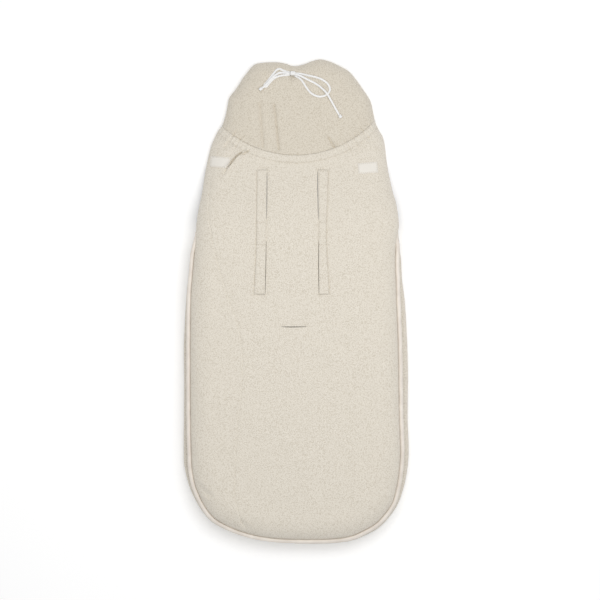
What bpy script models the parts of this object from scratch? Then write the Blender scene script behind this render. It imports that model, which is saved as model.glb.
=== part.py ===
# Stroller footmuff, lying face down on a table with its back up.
# Metres, +Z up, the hood towards +Y and the foot towards -Y.
# The front cover lies on the table, the padded back lies over it, and the hood is
# joined to the back at the curved neck band. Past the front cover the back sinks
# to the table, so every piece of the head end is dropped by the same amount.

import math

import bmesh
import bpy
from mathutils import Matrix, Vector

# Overall sizes
LENGTH = 1.000
WIDTH = 0.447
HALF_LENGTH = LENGTH / 2
GAP = 0.0003

# Heights of the two padded halves above the table
FRONT_RIM_Z = 0.028
BACK_RIM_Z = 0.042
BACK_TOP_Z = 0.074
EDGE_ROUND = 0.045
EDGE_STEPS = 4

# Layers of the padding
FABRIC_THICK = 0.0025
WADDING_THICK = 0.010
LINING_THICK = 0.002
WADDING_DEPTH = FABRIC_THICK + GAP
LINING_DEPTH = WADDING_DEPTH + WADDING_THICK + GAP
INNER_DEPTH = LINING_DEPTH + LINING_THICK

# Rounded foot end
FOOT_ROUND = 0.200
FOOT_POWER = 2.5
FOOT_STEPS = 7

# Edge piping
PIPING_DIAMETER = 0.007
PIPING_RISE = 0.0015
FABRIC_HALF_WIDTH = WIDTH / 2 - PIPING_DIAMETER - GAP

# Right side of the outline: shares of the fabric's half width and of the half length
SIDE_SHARES = (
    (1.000, -0.360),
    (0.995, -0.120),
    (0.977, 0.080),
    (0.957, 0.220),
    (0.971, 0.310),
    (0.945, 0.400),
    (0.889, 0.500),
    (0.859, 0.566),
    (0.833, 0.652),
)
PIPED_POINTS = 4

# Hood's outline from its right corner over the gathered top to its left corner
HOOD_SHARES = (
    (0.749, 0.730),
    (0.735, 0.780),
    (0.716, 0.832),
    (0.636, 0.880),
    (0.548, 0.930),
    (0.398, 0.974),
    (0.234, 1.000),
    (0.075, 0.980),
    (-0.014, 0.974),
    (-0.178, 0.988),
    (-0.407, 0.974),
    (-0.487, 0.926),
    (-0.571, 0.870),
    (-0.683, 0.810),
    (-0.707, 0.730),
)
HOOD_EXIT_POINT = 8

# Head end: the back bends down past the front cover's top edge
FRONT_TOP_Y = 0.150
BINDING_WIDTH = 0.004
LOW_Y = 0.283
HEAD_DROP = 0.034

# Neck band and the curved seam between back and hood
NECK_Y = 0.3014
NECK_RADIUS = 0.222
NECK_SIDES = 64
BAND_WIDTH = 0.016
BAND_THICK = 0.0035
ELASTIC_WIDTH = 0.010
ELASTIC_THICK = 0.0014

# Hood
HOOD_LINING_DEPTH = 0.0087
HOOD_LINING_THICK = 0.002
EXIT_LENGTH = 0.013
EXIT_WIDTH = 0.0055

# Harness slots with their welts, and the crotch slot
SLOT_WIDTH = 0.006
SLOT_SPACING = 0.1065
SLOT_CENTRE_X = -0.0078
UPPER_SLOT_HIGH_Y = 0.266
UPPER_SLOT_LOW_Y = 0.170
LOWER_SLOT_HIGH_Y = 0.124
LOWER_SLOT_LOW_Y = 0.018
WELT_WIDTH = 0.0185
WELT_THICK = 0.0042
WELT_OVERRUN = 0.005
PAD_LENGTH = 0.033
PAD_WIDTH = 0.012
PAD_THICK = 0.0009
CROTCH_SLOT_LENGTH = 0.054
CROTCH_SLOT_X = -0.003
CROTCH_SLOT_Y = -0.0504

# Pale fastening patches on the shoulders
PATCH_LENGTH = 0.040
PATCH_WIDTH = 0.021
PATCH_THICK = 0.0012
LEFT_PATCH_X = -0.1555
LEFT_PATCH_Y = 0.287
RIGHT_PATCH_X = 0.149
RIGHT_PATCH_Y = 0.275

# Side zips
ZIP_INSET = 0.0035
ZIP_BOTTOM_Y = -0.345
ZIP_END_MARGIN = 0.002
TAPE_THICK = 0.0012
COIL_DEPTH = 0.003
COIL_HEIGHT = 0.0026
COIL_TOP_MARGIN = 0.037
COIL_BOTTOM_MARGIN = 0.027
STOP_LENGTH = 0.003
STOP_THICK = 0.0012
STOP_HEIGHT = 0.0024
SLIDER_LENGTH = 0.013
SLIDER_PLATE = 0.0014
SLIDER_FLANGE = 0.0012
SLIDER_PLAY = 0.0004
LUG_RADIUS = 0.0023
LUG_HOLE_RADIUS = 0.0011
LUG_THICK = 0.0012
PULL_BAR_RADIUS = 0.0008
PULL_LENGTH = 0.0195
PULL_WIDTH = 0.007
PULL_THICK = 0.0014
PULL_WINDOW_LENGTH = 0.0046
PULL_WINDOW_WIDTH = 0.0032
SMALL_ROUND_SIDES = 16

# Foot wall between the two halves, below the zips
GUSSET_SKIN_DEPTH = 0.0005
GUSSET_THICK = 0.0135

# Drawstring, its bow and its end knots
CORD_DIAMETER = 0.0040
CORD_STEP = 0.0078
CORD_LIFT_SHARE = 1.25
CHANNEL_DEPTH = 0.0054
RISER_RADIUS = 0.007
RISER_HALF_SPACING = 0.0026
RISER_STEPS = 4
ANCHOR_MARGIN = 0.006
KNOT_X = -0.006
KNOT_LENGTH = 0.0115
KNOT_WIDTH = 0.0100
KNOT_HEIGHT = 0.0080
END_KNOT_LENGTH = 0.0085
END_KNOT_DIAMETER = 0.0060
KNOT_SEGMENTS = 12
KNOT_RINGS = 7

# Joint axes
BACK_HINGE_Z = 0.038
BACK_HINGE_MARGIN = 0.001
HOOD_HINGE_RISE = 0.001

# Cutters reach this far past what they cut
OVERRUN = 0.020

# Routes of the bow: x, y and the height over the cord that lies on the hood
RIGHT_LOOP_ROUTE = (
    (-0.0010, 0.4700, 0.0000),
    (0.0110, 0.4688, 0.0000),
    (0.0245, 0.4658, 0.0000),
    (0.0389, 0.4625, 0.0000),
    (0.0530, 0.4578, 0.0000),
    (0.0634, 0.4508, 0.0000),
    (0.0698, 0.4422, 0.0000),
    (0.0706, 0.4345, 0.0000),
    (0.0663, 0.4276, 0.0000),
    (0.0586, 0.4230, 0.0000),
    (0.0490, 0.4218, 0.0000),
    (0.0389, 0.4247, 0.0000),
    (0.0302, 0.4305, 0.0000),
    (0.0228, 0.4400, 0.0000),
    (0.0165, 0.4500, 0.0000),
    (0.0090, 0.4590, 0.0000),
    (-0.0015, 0.4652, 0.0000),
)
RIGHT_TAIL_ROUTE = (
    (-0.0010, 0.4680, 0.0050),
    (0.0060, 0.4660, 0.0050),
    (0.0140, 0.4625, 0.0038),
    (0.0225, 0.4580, 0.0012),
    (0.0330, 0.4530, 0.0000),
    (0.0447, 0.4465, 0.0002),
    (0.0562, 0.4370, 0.0022),
    (0.0648, 0.4276, 0.0049),
    (0.0720, 0.4159, 0.0022),
    (0.0792, 0.4031, 0.0000),
    (0.0864, 0.3901, 0.0000),
    (0.0922, 0.3808, 0.0000),
)
LEFT_LOOP_ROUTE = (
    (-0.0123, 0.4718, 0.0000),
    (-0.0196, 0.4737, 0.0000),
    (-0.0257, 0.4759, 0.0000),
    (-0.0313, 0.4786, 0.0000),
    (-0.0360, 0.4786, 0.0000),
    (-0.0401, 0.4757, 0.0000),
    (-0.0446, 0.4702, 0.0000),
    (-0.0498, 0.4634, 0.0000),
    (-0.0554, 0.4562, 0.0000),
    (-0.0607, 0.4496, 0.0000),
    (-0.0644, 0.4451, 0.0000),
    (-0.0650, 0.4422, 0.0000),
    (-0.0615, 0.4422, 0.0000),
    (-0.0582, 0.4455, 0.0000),
    (-0.0533, 0.4508, 0.0000),
    (-0.0471, 0.4566, 0.0000),
    (-0.0405, 0.4613, 0.0000),
    (-0.0329, 0.4642, 0.0000),
    (-0.0237, 0.4658, 0.0000),
    (-0.0175, 0.4662, 0.0000),
    (-0.0123, 0.4669, 0.0000),
)
LEFT_TAIL_ROUTE = (
    (-0.0123, 0.4693, 0.0050),
    (-0.0195, 0.4702, 0.0036),
    (-0.0257, 0.4710, 0.0000),
    (-0.0319, 0.4708, 0.0000),
    (-0.0374, 0.4689, 0.0000),
    (-0.0451, 0.4628, 0.0030),
    (-0.0506, 0.4570, 0.0039),
    (-0.0566, 0.4502, 0.0044),
    (-0.0619, 0.4444, 0.0048),
    (-0.0665, 0.4407, 0.0044),
    (-0.0689, 0.4391, 0.0024),
    (-0.0714, 0.4374, 0.0000),
)


# Scene, collections and materials


def empty_scene():
    for obj in list(bpy.data.objects):
        bpy.data.objects.remove(obj)


def new_collection(name):
    collection = bpy.data.collections.new(name)
    bpy.context.scene.collection.children.link(collection)
    return collection


def finish(name, colour, roughness, metallic=0.0):
    material = bpy.data.materials.new(name)
    material.use_nodes = True
    shader = material.node_tree.nodes["Principled BSDF"]
    shader.inputs["Base Color"].default_value = (*colour, 1.0)
    shader.inputs["Roughness"].default_value = roughness
    shader.inputs["Metallic"].default_value = metallic
    material.diffuse_color = (*colour, 1.0)
    return material


def teddy_fleece():
    return finish("teddy_fleece", (0.74, 0.68, 0.59), 0.95)


def cotton_lining():
    return finish("cotton_lining", (0.80, 0.77, 0.70), 0.85)


def polyester_wadding():
    return finish("polyester_wadding", (0.90, 0.90, 0.88), 0.95)


def satin_piping():
    return finish("satin_piping", (0.84, 0.76, 0.69), 0.55)


def woven_tape():
    return finish("woven_tape", (0.76, 0.71, 0.63), 0.80)


def nylon_coil():
    return finish("nylon_coil", (0.78, 0.73, 0.65), 0.45)


def nickel_plate():
    return finish("nickel_plate", (0.72, 0.70, 0.66), 0.30, 1.0)


def fastening_tape():
    return finish("fastening_tape", (0.86, 0.83, 0.76), 0.80)


def knitted_elastic():
    return finish("knitted_elastic", (0.88, 0.86, 0.82), 0.80)


def braided_cord():
    return finish("braided_cord", (0.93, 0.91, 0.89), 0.60)


# Solids, cutters and modifiers


def mesh_object(name, bm, material, collection):
    mesh = bpy.data.meshes.new(name)
    bm.to_mesh(mesh)
    bm.free()
    obj = bpy.data.objects.new(name, mesh)
    if material:
        mesh.materials.append(material)
    else:
        obj.hide_render = True
        obj.display_type = "WIRE"
    collection.objects.link(obj)
    return obj


def box(name, low, high, material, collection):
    low, high = Vector(low), Vector(high)
    bm = bmesh.new()
    place = Matrix.LocRotScale((low + high) / 2, None, high - low)
    bmesh.ops.create_cube(bm, size=1.0, matrix=place)
    return mesh_object(name, bm, material, collection)


def cylinder(name, centre, radius, depth, sides, material, collection):
    bm = bmesh.new()
    place = Matrix.Translation(centre)
    bmesh.ops.create_cone(
        bm, cap_ends=True, segments=sides, radius1=radius, radius2=radius,
        depth=depth, matrix=place,
    )
    return mesh_object(name, bm, material, collection)


def ellipsoid(name, centre, size, heading, material, collection):
    bm = bmesh.new()
    turn = Matrix.Rotation(heading, 4, "Z")
    stretch = Matrix.Diagonal((*size, 1.0))
    place = Matrix.Translation(centre) @ turn @ stretch
    bmesh.ops.create_uvsphere(
        bm, u_segments=KNOT_SEGMENTS, v_segments=KNOT_RINGS, radius=0.5, matrix=place,
    )
    return mesh_object(name, bm, material, collection)


def combine(obj, other, operation):
    step = obj.modifiers.new(operation.lower(), "BOOLEAN")
    step.object = other
    step.operation = operation
    step.solver = "EXACT"


def settle(obj):
    """Turns what the modifiers or the curve make into the object's plain mesh."""
    graph = bpy.context.evaluated_depsgraph_get()
    mesh = bpy.data.meshes.new_from_object(obj.evaluated_get(graph))
    bm = bmesh.new()
    bm.from_mesh(mesh)
    bmesh.ops.remove_doubles(bm, verts=bm.verts, dist=GAP / 30)
    bmesh.ops.recalc_face_normals(bm, faces=bm.faces)
    bm.to_mesh(mesh)
    bm.free()
    name = obj.name
    holder = obj.users_collection[0]
    place = obj.matrix_world.copy()
    bpy.data.objects.remove(obj)
    mesh.name = name
    plain = bpy.data.objects.new(name, mesh)
    plain.matrix_world = place
    holder.objects.link(plain)
    return plain


def hinge_point(name, place, parent=None):
    point = bpy.data.objects.new(name, None)
    point.empty_display_size = PIPING_DIAMETER
    PARTS.objects.link(point)
    point.location = place
    if parent:
        hang(point, parent)
    return point


def hang(obj, parent):
    bpy.context.view_layer.update()
    obj.parent = parent
    obj.matrix_parent_inverse = parent.matrix_world.inverted()


# The outline and the surfaces that follow it


def fabric_outline():
    """Corner points of the fabric's edge, anticlockwise from the foot's right side."""
    foot_length = FOOT_ROUND - PIPING_DIAMETER - GAP
    foot_y = -HALF_LENGTH + FOOT_ROUND
    bend = 2 / FOOT_POWER
    foot = []
    for step in range(-FOOT_STEPS, FOOT_STEPS + 1):
        angle = step / FOOT_STEPS * math.pi / 2
        x = math.copysign(abs(math.sin(angle)) ** bend, step) * FABRIC_HALF_WIDTH
        y = foot_y - math.cos(angle) ** bend * foot_length if abs(step) < FOOT_STEPS else foot_y
        foot.append(Vector((x, y)))
    right = [Vector((x * FABRIC_HALF_WIDTH, y * HALF_LENGTH)) for x, y in SIDE_SHARES]
    hood = [Vector((x * FABRIC_HALF_WIDTH, y * HALF_LENGTH)) for x, y in HOOD_SHARES]
    left = [Vector((-point.x, point.y)) for point in reversed(right)]
    return foot + right + hood + left


def inward_steps(outline):
    """For each corner, how far it moves when the outline shrinks by one unit."""
    steps = []
    count = len(outline)
    for index, point in enumerate(outline):
        before = (point - outline[index - 1]).normalized()
        after = (outline[(index + 1) % count] - point).normalized()
        normal_before = Vector((-before.y, before.x))
        normal_after = Vector((-after.y, after.x))
        middle = (normal_before + normal_after).normalized()
        steps.append(middle / middle.dot(normal_before))
    return steps


def skin_inset(depth, angle):
    return depth + (EDGE_ROUND - depth) * (1 - math.cos(angle))


def level_ring(inset, z):
    return [(*(point + step * inset), z) for point, step in zip(OUTLINE, STEPS_IN)]


def skin_rings(depth, rim_z, crown):
    """Rings of one surface, from its rim to the edge of its flat middle."""
    rings = []
    for step in range(EDGE_STEPS + 1):
        angle = step / EDGE_STEPS * math.pi / 2
        rise = (abs(crown) - depth) * math.sin(angle)
        z = rim_z + math.copysign(rise, crown)
        rings.append(level_ring(skin_inset(depth, angle), z))
    return rings


def loft(name, rings, closed, material, collection):
    """Faces between unlike rings, with both ends capped or the last joined to the first."""
    bm = bmesh.new()
    rows = [[bm.verts.new(point) for point in ring] for ring in rings]
    pairs = list(zip(rows, rows[1:]))
    if closed:
        pairs.append((rows[-1], rows[0]))
    count = len(rows[0])
    for near, far in pairs:
        for index in range(count):
            after = (index + 1) % count
            bm.faces.new((near[index], near[after], far[after], far[index]))
    if not closed:
        bm.faces.new(rows[0])
        bm.faces.new(rows[-1])
    bmesh.ops.recalc_face_normals(bm, faces=bm.faces)
    return mesh_object(name, bm, material, collection)


def back_layer(name, near_depth, far_depth, material, collection=None):
    """A layer of the whole back and hood, between two depths under the outer face."""
    crown = BACK_TOP_Z - BACK_RIM_Z
    outer = skin_rings(near_depth, BACK_RIM_Z, crown)
    inner = skin_rings(far_depth, BACK_RIM_Z, crown)
    rings = list(reversed(outer)) + inner
    return loft(name, rings, False, material, collection or PARTS)


def front_layer(name, near_depth, far_depth, material):
    """A layer of the front cover, which is rounded downwards and ends at its top edge."""
    outer = skin_rings(near_depth, FRONT_RIM_Z, -FRONT_RIM_Z)
    inner = skin_rings(far_depth, FRONT_RIM_Z, -FRONT_RIM_Z)
    rings = list(reversed(outer)) + inner
    return loft(name, rings, False, material, PARTS)


def edge_strip(name, near_depth, far_depth, low_z, high_z, material):
    """An upright strip that runs round the whole outline."""
    rings = [
        level_ring(near_depth, low_z),
        level_ring(near_depth, high_z),
        level_ring(far_depth, high_z),
        level_ring(far_depth, low_z),
    ]
    return loft(name, rings, True, material, PARTS)


def drop_head(obj):
    """Lowers the head end: straight down from the knee to the low line, level past it."""
    plain = settle(obj)
    bm = bmesh.new()
    bm.from_mesh(plain.data)
    for line_y in (FRONT_TOP_Y, LOW_Y):
        everything = list(bm.verts) + list(bm.edges) + list(bm.faces)
        bmesh.ops.bisect_plane(
            bm, geom=everything, dist=GAP / 1000, plane_co=(0, line_y, 0), plane_no=(0, 1, 0),
        )
    for vert in bm.verts:
        along = (vert.co.y - FRONT_TOP_Y) / (LOW_Y - FRONT_TOP_Y)
        vert.co.z -= HEAD_DROP * min(max(along, 0), 1)
    bmesh.ops.recalc_face_normals(bm, faces=bm.faces)
    bm.to_mesh(plain.data)
    bm.free()
    return plain


# Cutters


def front_cutter():
    """Everything past the front cover's top edge."""
    low = (-WIDTH, FRONT_TOP_Y, -OVERRUN)
    high = (WIDTH, LENGTH, BACK_TOP_Z + OVERRUN)
    return box("front_cutter", low, high, None, CUTTERS)


def neck_cutter(name, extra):
    """A round block behind the neck seam, whose edge is the seam plus extra."""
    centre = (0, NECK_Y + NECK_RADIUS, BACK_RIM_Z)
    depth = 2 * (BACK_TOP_Z + OVERRUN)
    return cylinder(name, centre, NECK_RADIUS + extra, depth, NECK_SIDES, None, CUTTERS)


def slot_side_x(side):
    return SLOT_CENTRE_X + side * SLOT_SPACING / 2


def slot_cutters():
    low_z = BACK_RIM_Z
    high_z = BACK_TOP_Z + OVERRUN
    cutters = []
    for side_name, side in (("left", -1), ("right", 1)):
        middle = slot_side_x(side)
        for level, low_y, high_y in (
            ("upper", UPPER_SLOT_LOW_Y, UPPER_SLOT_HIGH_Y),
            ("lower", LOWER_SLOT_LOW_Y, LOWER_SLOT_HIGH_Y),
        ):
            low = (middle - SLOT_WIDTH / 2, low_y, low_z)
            high = (middle + SLOT_WIDTH / 2, high_y, high_z)
            name = f"{side_name}_{level}_slot_cutter"
            cutters.append(box(name, low, high, None, CUTTERS))
    low = (CROTCH_SLOT_X - CROTCH_SLOT_LENGTH / 2, CROTCH_SLOT_Y - SLOT_WIDTH / 2, low_z)
    high = (CROTCH_SLOT_X + CROTCH_SLOT_LENGTH / 2, CROTCH_SLOT_Y + SLOT_WIDTH / 2, high_z)
    cutters.append(box("crotch_slot_cutter", low, high, None, CUTTERS))
    return cutters


# Front cover


def make_front_cover(cutter):
    layers = (
        ("front_outer_fabric", 0, FABRIC_THICK, FLEECE),
        ("front_wadding", WADDING_DEPTH, WADDING_DEPTH + WADDING_THICK, WADDING),
        ("front_lining", LINING_DEPTH, INNER_DEPTH, LINING),
    )
    for name, near_depth, far_depth, material in layers:
        combine(front_layer(name, near_depth, far_depth, material), cutter, "DIFFERENCE")


def make_front_top_binding():
    binding = front_layer("front_top_binding", 0, INNER_DEPTH, TAPE)
    low = (-WIDTH, FRONT_TOP_Y + GAP, -OVERRUN)
    high = (WIDTH, FRONT_TOP_Y + GAP + BINDING_WIDTH, FRONT_RIM_Z + OVERRUN)
    slab = box("binding_cutter", low, high, None, CUTTERS)
    combine(binding, slab, "INTERSECT")


def make_foot_gusset():
    far_depth = GUSSET_SKIN_DEPTH + GUSSET_THICK
    low_z = FRONT_RIM_Z + GAP
    high_z = BACK_RIM_Z - GAP
    gusset = edge_strip("foot_gusset", GUSSET_SKIN_DEPTH, far_depth, low_z, high_z, FLEECE)
    low = (-WIDTH, ZIP_BOTTOM_Y - GAP, -OVERRUN)
    high = (WIDTH, LENGTH, BACK_TOP_Z + OVERRUN)
    combine(gusset, box("gusset_cutter", low, high, None, CUTTERS), "DIFFERENCE")


# Back panel


def make_back_panel(slots, hood_side):
    layers = (
        ("back_outer_fabric", 0, FABRIC_THICK, FLEECE),
        ("back_wadding", WADDING_DEPTH, WADDING_DEPTH + WADDING_THICK, WADDING),
        ("back_lining", LINING_DEPTH, INNER_DEPTH, LINING),
    )
    panels = []
    for name, near_depth, far_depth, material in layers:
        panel = back_layer(name, near_depth, far_depth, material)
        combine(panel, hood_side, "DIFFERENCE")
        for slot in slots:
            combine(panel, slot, "DIFFERENCE")
        panels.append(drop_head(panel))
    return panels


def make_shoulder_tapes(hood_side):
    """The tapes that close the back's open edge between the zips and the neck band."""
    high_z = BACK_RIM_Z - GAP
    low_z = HEAD_DROP
    tapes = []
    for side_name, side in (("left", -1), ("right", 1)):
        name = f"{side_name}_shoulder_tape"
        tape = edge_strip(name, 0, INNER_DEPTH, low_z, high_z, TAPE)
        inner_x = side * FABRIC_HALF_WIDTH / 2
        outer_x = side * WIDTH
        low = (min(inner_x, outer_x), LOW_Y, low_z - OVERRUN)
        high = (max(inner_x, outer_x), LENGTH, high_z + OVERRUN)
        corner = box(f"{side_name}_shoulder_cutter", low, high, None, CUTTERS)
        combine(tape, corner, "INTERSECT")
        combine(tape, hood_side, "DIFFERENCE")
        tapes.append(drop_head(tape))
    return tapes


def make_edge_piping():
    """A tube outside the back's rim, from one zip's top round the foot to the other's."""
    count = len(OUTLINE)
    foot_points = 2 * FOOT_STEPS + 1
    order = list(range(count - PIPED_POINTS, count)) + list(range(foot_points + PIPED_POINTS))
    offset = -(GAP + PIPING_DIAMETER / 2)
    z = BACK_RIM_Z + PIPING_RISE
    points = [(*(OUTLINE[index] + STEPS_IN[index] * offset), z) for index in order]
    return tube("edge_piping", points, PIPING_DIAMETER, PIPING)


def make_neck_band(hood_side):
    inner_side = neck_cutter("band_cutter", BAND_WIDTH)
    margin = (BAND_WIDTH - ELASTIC_WIDTH) / 2
    elastic_near = neck_cutter("elastic_near_cutter", margin)
    elastic_far = neck_cutter("elastic_far_cutter", margin + ELASTIC_WIDTH)
    room_near = neck_cutter("room_near_cutter", margin - GAP)
    room_far = neck_cutter("room_far_cutter", margin + ELASTIC_WIDTH + GAP)
    elastic = back_layer("neck_elastic", -2 * GAP - ELASTIC_THICK, -2 * GAP, ELASTIC)
    combine(elastic, elastic_far, "INTERSECT")
    combine(elastic, elastic_near, "DIFFERENCE")
    room = back_layer("elastic_room", -3 * GAP - ELASTIC_THICK, GAP, None, CUTTERS)
    combine(room, room_far, "INTERSECT")
    combine(room, room_near, "DIFFERENCE")
    band = back_layer("neck_band", -GAP - BAND_THICK, -GAP, FLEECE)
    combine(band, inner_side, "INTERSECT")
    combine(band, hood_side, "DIFFERENCE")
    combine(band, room, "DIFFERENCE")
    return [drop_head(band), drop_head(elastic)]


def make_slot_welts():
    """Folded strips beside the slots, held down at the middle by two fastening pads."""
    pieces = []
    pad_y = (UPPER_SLOT_LOW_Y + LOWER_SLOT_HIGH_Y) / 2
    for side_name, side in (("left", -1), ("right", 1)):
        slit_x = slot_side_x(side) + side * (SLOT_WIDTH / 2 + GAP)
        far_x = slit_x + side * WELT_WIDTH
        low = (min(slit_x, far_x), LOWER_SLOT_LOW_Y - WELT_OVERRUN, BACK_RIM_Z)
        high = (max(slit_x, far_x), UPPER_SLOT_HIGH_Y + WELT_OVERRUN, BACK_TOP_Z + OVERRUN)
        region = box(f"{side_name}_welt_cutter", low, high, None, CUTTERS)
        welt = back_layer(f"{side_name}_slot_welt", -GAP - WELT_THICK, -GAP, FLEECE)
        combine(welt, region, "INTERSECT")
        middle_x = (slit_x + far_x) / 2
        pad_low = (middle_x - PAD_WIDTH / 2, pad_y - PAD_LENGTH / 2, BACK_RIM_Z)
        pad_high = (middle_x + PAD_WIDTH / 2, pad_y + PAD_LENGTH / 2, BACK_TOP_Z + OVERRUN)
        pad_region = box(f"{side_name}_pad_cutter", pad_low, pad_high, None, CUTTERS)
        room_low = (pad_low[0] - GAP, pad_low[1] - GAP, BACK_RIM_Z)
        room_high = (pad_high[0] + GAP, pad_high[1] + GAP, BACK_TOP_Z + 3 * GAP + 2 * PAD_THICK)
        combine(welt, box(f"{side_name}_pad_room", room_low, room_high, None, CUTTERS), "DIFFERENCE")
        loop_pad = back_layer(f"{side_name}_slot_loop_pad", -GAP - PAD_THICK, -GAP, FASTENING)
        combine(loop_pad, pad_region, "INTERSECT")
        hook_near = -2 * GAP - 2 * PAD_THICK
        hook_pad = back_layer(
            f"{side_name}_slot_hook_pad", hook_near, hook_near + PAD_THICK, FASTENING,
        )
        combine(hook_pad, pad_region, "INTERSECT")
        pieces += [drop_head(welt), drop_head(loop_pad), drop_head(hook_pad)]
    return pieces


def make_shoulder_patches():
    pieces = []
    for side_name, x, y in (
        ("left", LEFT_PATCH_X, LEFT_PATCH_Y),
        ("right", RIGHT_PATCH_X, RIGHT_PATCH_Y),
    ):
        low = (x - PATCH_LENGTH / 2, y - PATCH_WIDTH / 2, BACK_RIM_Z)
        high = (x + PATCH_LENGTH / 2, y + PATCH_WIDTH / 2, BACK_TOP_Z + OVERRUN)
        region = box(f"{side_name}_patch_cutter", low, high, None, CUTTERS)
        patch = back_layer(f"{side_name}_shoulder_patch", -GAP - PATCH_THICK, -GAP, FASTENING)
        combine(patch, region, "INTERSECT")
        pieces.append(drop_head(patch))
    return pieces


# Hood


def make_hood(hood_region):
    outer = back_layer("hood_outer_fabric", 0, FABRIC_THICK, FLEECE)
    combine(outer, hood_region, "INTERSECT")
    low = (KNOT_X - EXIT_LENGTH / 2, KNOT_Y - EXIT_WIDTH / 2, BACK_RIM_Z)
    high = (KNOT_X + EXIT_LENGTH / 2, KNOT_Y + EXIT_WIDTH / 2, BACK_TOP_Z + OVERRUN)
    combine(outer, box("exit_cutter", low, high, None, CUTTERS), "DIFFERENCE")
    far_depth = HOOD_LINING_DEPTH + HOOD_LINING_THICK
    lining = back_layer("hood_lining", HOOD_LINING_DEPTH, far_depth, LINING)
    combine(lining, hood_region, "INTERSECT")
    hem = edge_strip("hood_hem_tape", 0, far_depth, HEAD_DROP, BACK_RIM_Z - GAP, TAPE)
    combine(hem, hood_region, "INTERSECT")
    return [drop_head(outer), drop_head(lining), drop_head(hem)]


# Drawstring


def distance_inside(x, y):
    """How far a point of the plan lies inside the fabric's outline."""
    place = Vector((x, y))
    nearest = LENGTH
    for index, point in enumerate(OUTLINE):
        before = OUTLINE[index - 1]
        along = point - before
        share = (place - before).dot(along) / along.length_squared
        foot = before + along * min(max(share, 0), 1)
        nearest = min(nearest, (place - foot).length)
    return nearest


def hood_top_z(x, y):
    share = min(distance_inside(x, y) / EDGE_ROUND, 1)
    rise = (BACK_TOP_Z - BACK_RIM_Z) * math.sqrt(1 - (1 - share) ** 2)
    return BACK_RIM_Z - HEAD_DROP + rise


def cord_height():
    return (CORD_DIAMETER / 2 + GAP) * CORD_LIFT_SHARE


def tube(name, points, diameter, material):
    curve = bpy.data.curves.new(name, "CURVE")
    curve.dimensions = "3D"
    curve.bevel_depth = diameter / 2
    curve.bevel_resolution = 2
    curve.use_fill_caps = True
    spline = curve.splines.new("POLY")
    spline.points.add(len(points) - 1)
    for knot, place in zip(spline.points, points):
        knot.co = (*place, 1)
    curve.materials.append(material)
    obj = bpy.data.objects.new(name, curve)
    PARTS.objects.link(obj)
    return obj


def smooth_route(route):
    """Points about one step apart on a smooth curve through the route's own points."""
    places = [Vector(place) for place in route]
    places = [2 * places[0] - places[1]] + places + [2 * places[-1] - places[-2]]
    fine = []
    for before, start, end, after in zip(places, places[1:], places[2:], places[3:]):
        count = max(1, round((end - start).length / CORD_STEP * 2))
        for step in range(count):
            t = step / count
            fine.append((
                2 * start + (end - before) * t
                + (2 * before - 5 * start + 4 * end - after) * t ** 2
                + (3 * start - before - 3 * end + after) * t ** 3
            ) / 2)
    fine.append(places[-2])
    kept = [fine[0]]
    for place in fine[1:-1]:
        far_enough = (place - kept[-1]).length > CORD_STEP / 2
        if far_enough and (place - fine[-1]).length > CORD_STEP / 3:
            kept.append(place)
    return kept + [fine[-1]]


def lay_on_hood(route):
    laid = []
    for place in smooth_route(route):
        z = hood_top_z(place.x, place.y) + cord_height() + place.z
        laid.append(Vector((place.x, place.y, z)))
    return laid


def channel_ring():
    """The line under the hood's fabric that the drawstring follows."""
    angle = math.pi / 4
    rise = (BACK_TOP_Z - BACK_RIM_Z - CHANNEL_DEPTH) * math.sin(angle)
    return level_ring(skin_inset(CHANNEL_DEPTH, angle), BACK_RIM_Z - HEAD_DROP + rise)


def make_drawstring_runs():
    """The held part of the cord: from the exit round each side of the hood to its corner."""
    ring = channel_ring()
    z = ring[0][2]
    first_hood_point = 2 * FOOT_STEPS + 1 + len(SIDE_SHARES)
    exit_index = first_hood_point + HOOD_EXIT_POINT
    runs = []
    for side_name, side in (("left", -1), ("right", 1)):
        last_index = first_hood_point if side > 0 else first_hood_point + len(HOOD_SHARES) - 1
        indices = range(exit_index - side, last_index - side, -side)
        top_x = KNOT_X + side * RISER_HALF_SPACING
        points = []
        for step in range(RISER_STEPS + 1):
            turn = step / RISER_STEPS * math.pi / 2
            x = top_x + side * RISER_RADIUS * (1 - math.cos(turn))
            rise = RISER_RADIUS * (1 - math.sin(turn))
            points.append(Vector((x, KNOT_Y, z + rise)))
        points += [Vector(ring[index]) for index in indices]
        back_off = (points[-2] - points[-1]).normalized() * ANCHOR_MARGIN
        points[-1] = points[-1] + back_off
        run = tube(f"{side_name}_drawstring_run", points, CORD_DIAMETER, CORD)
        runs.append(run)
    return runs


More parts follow.
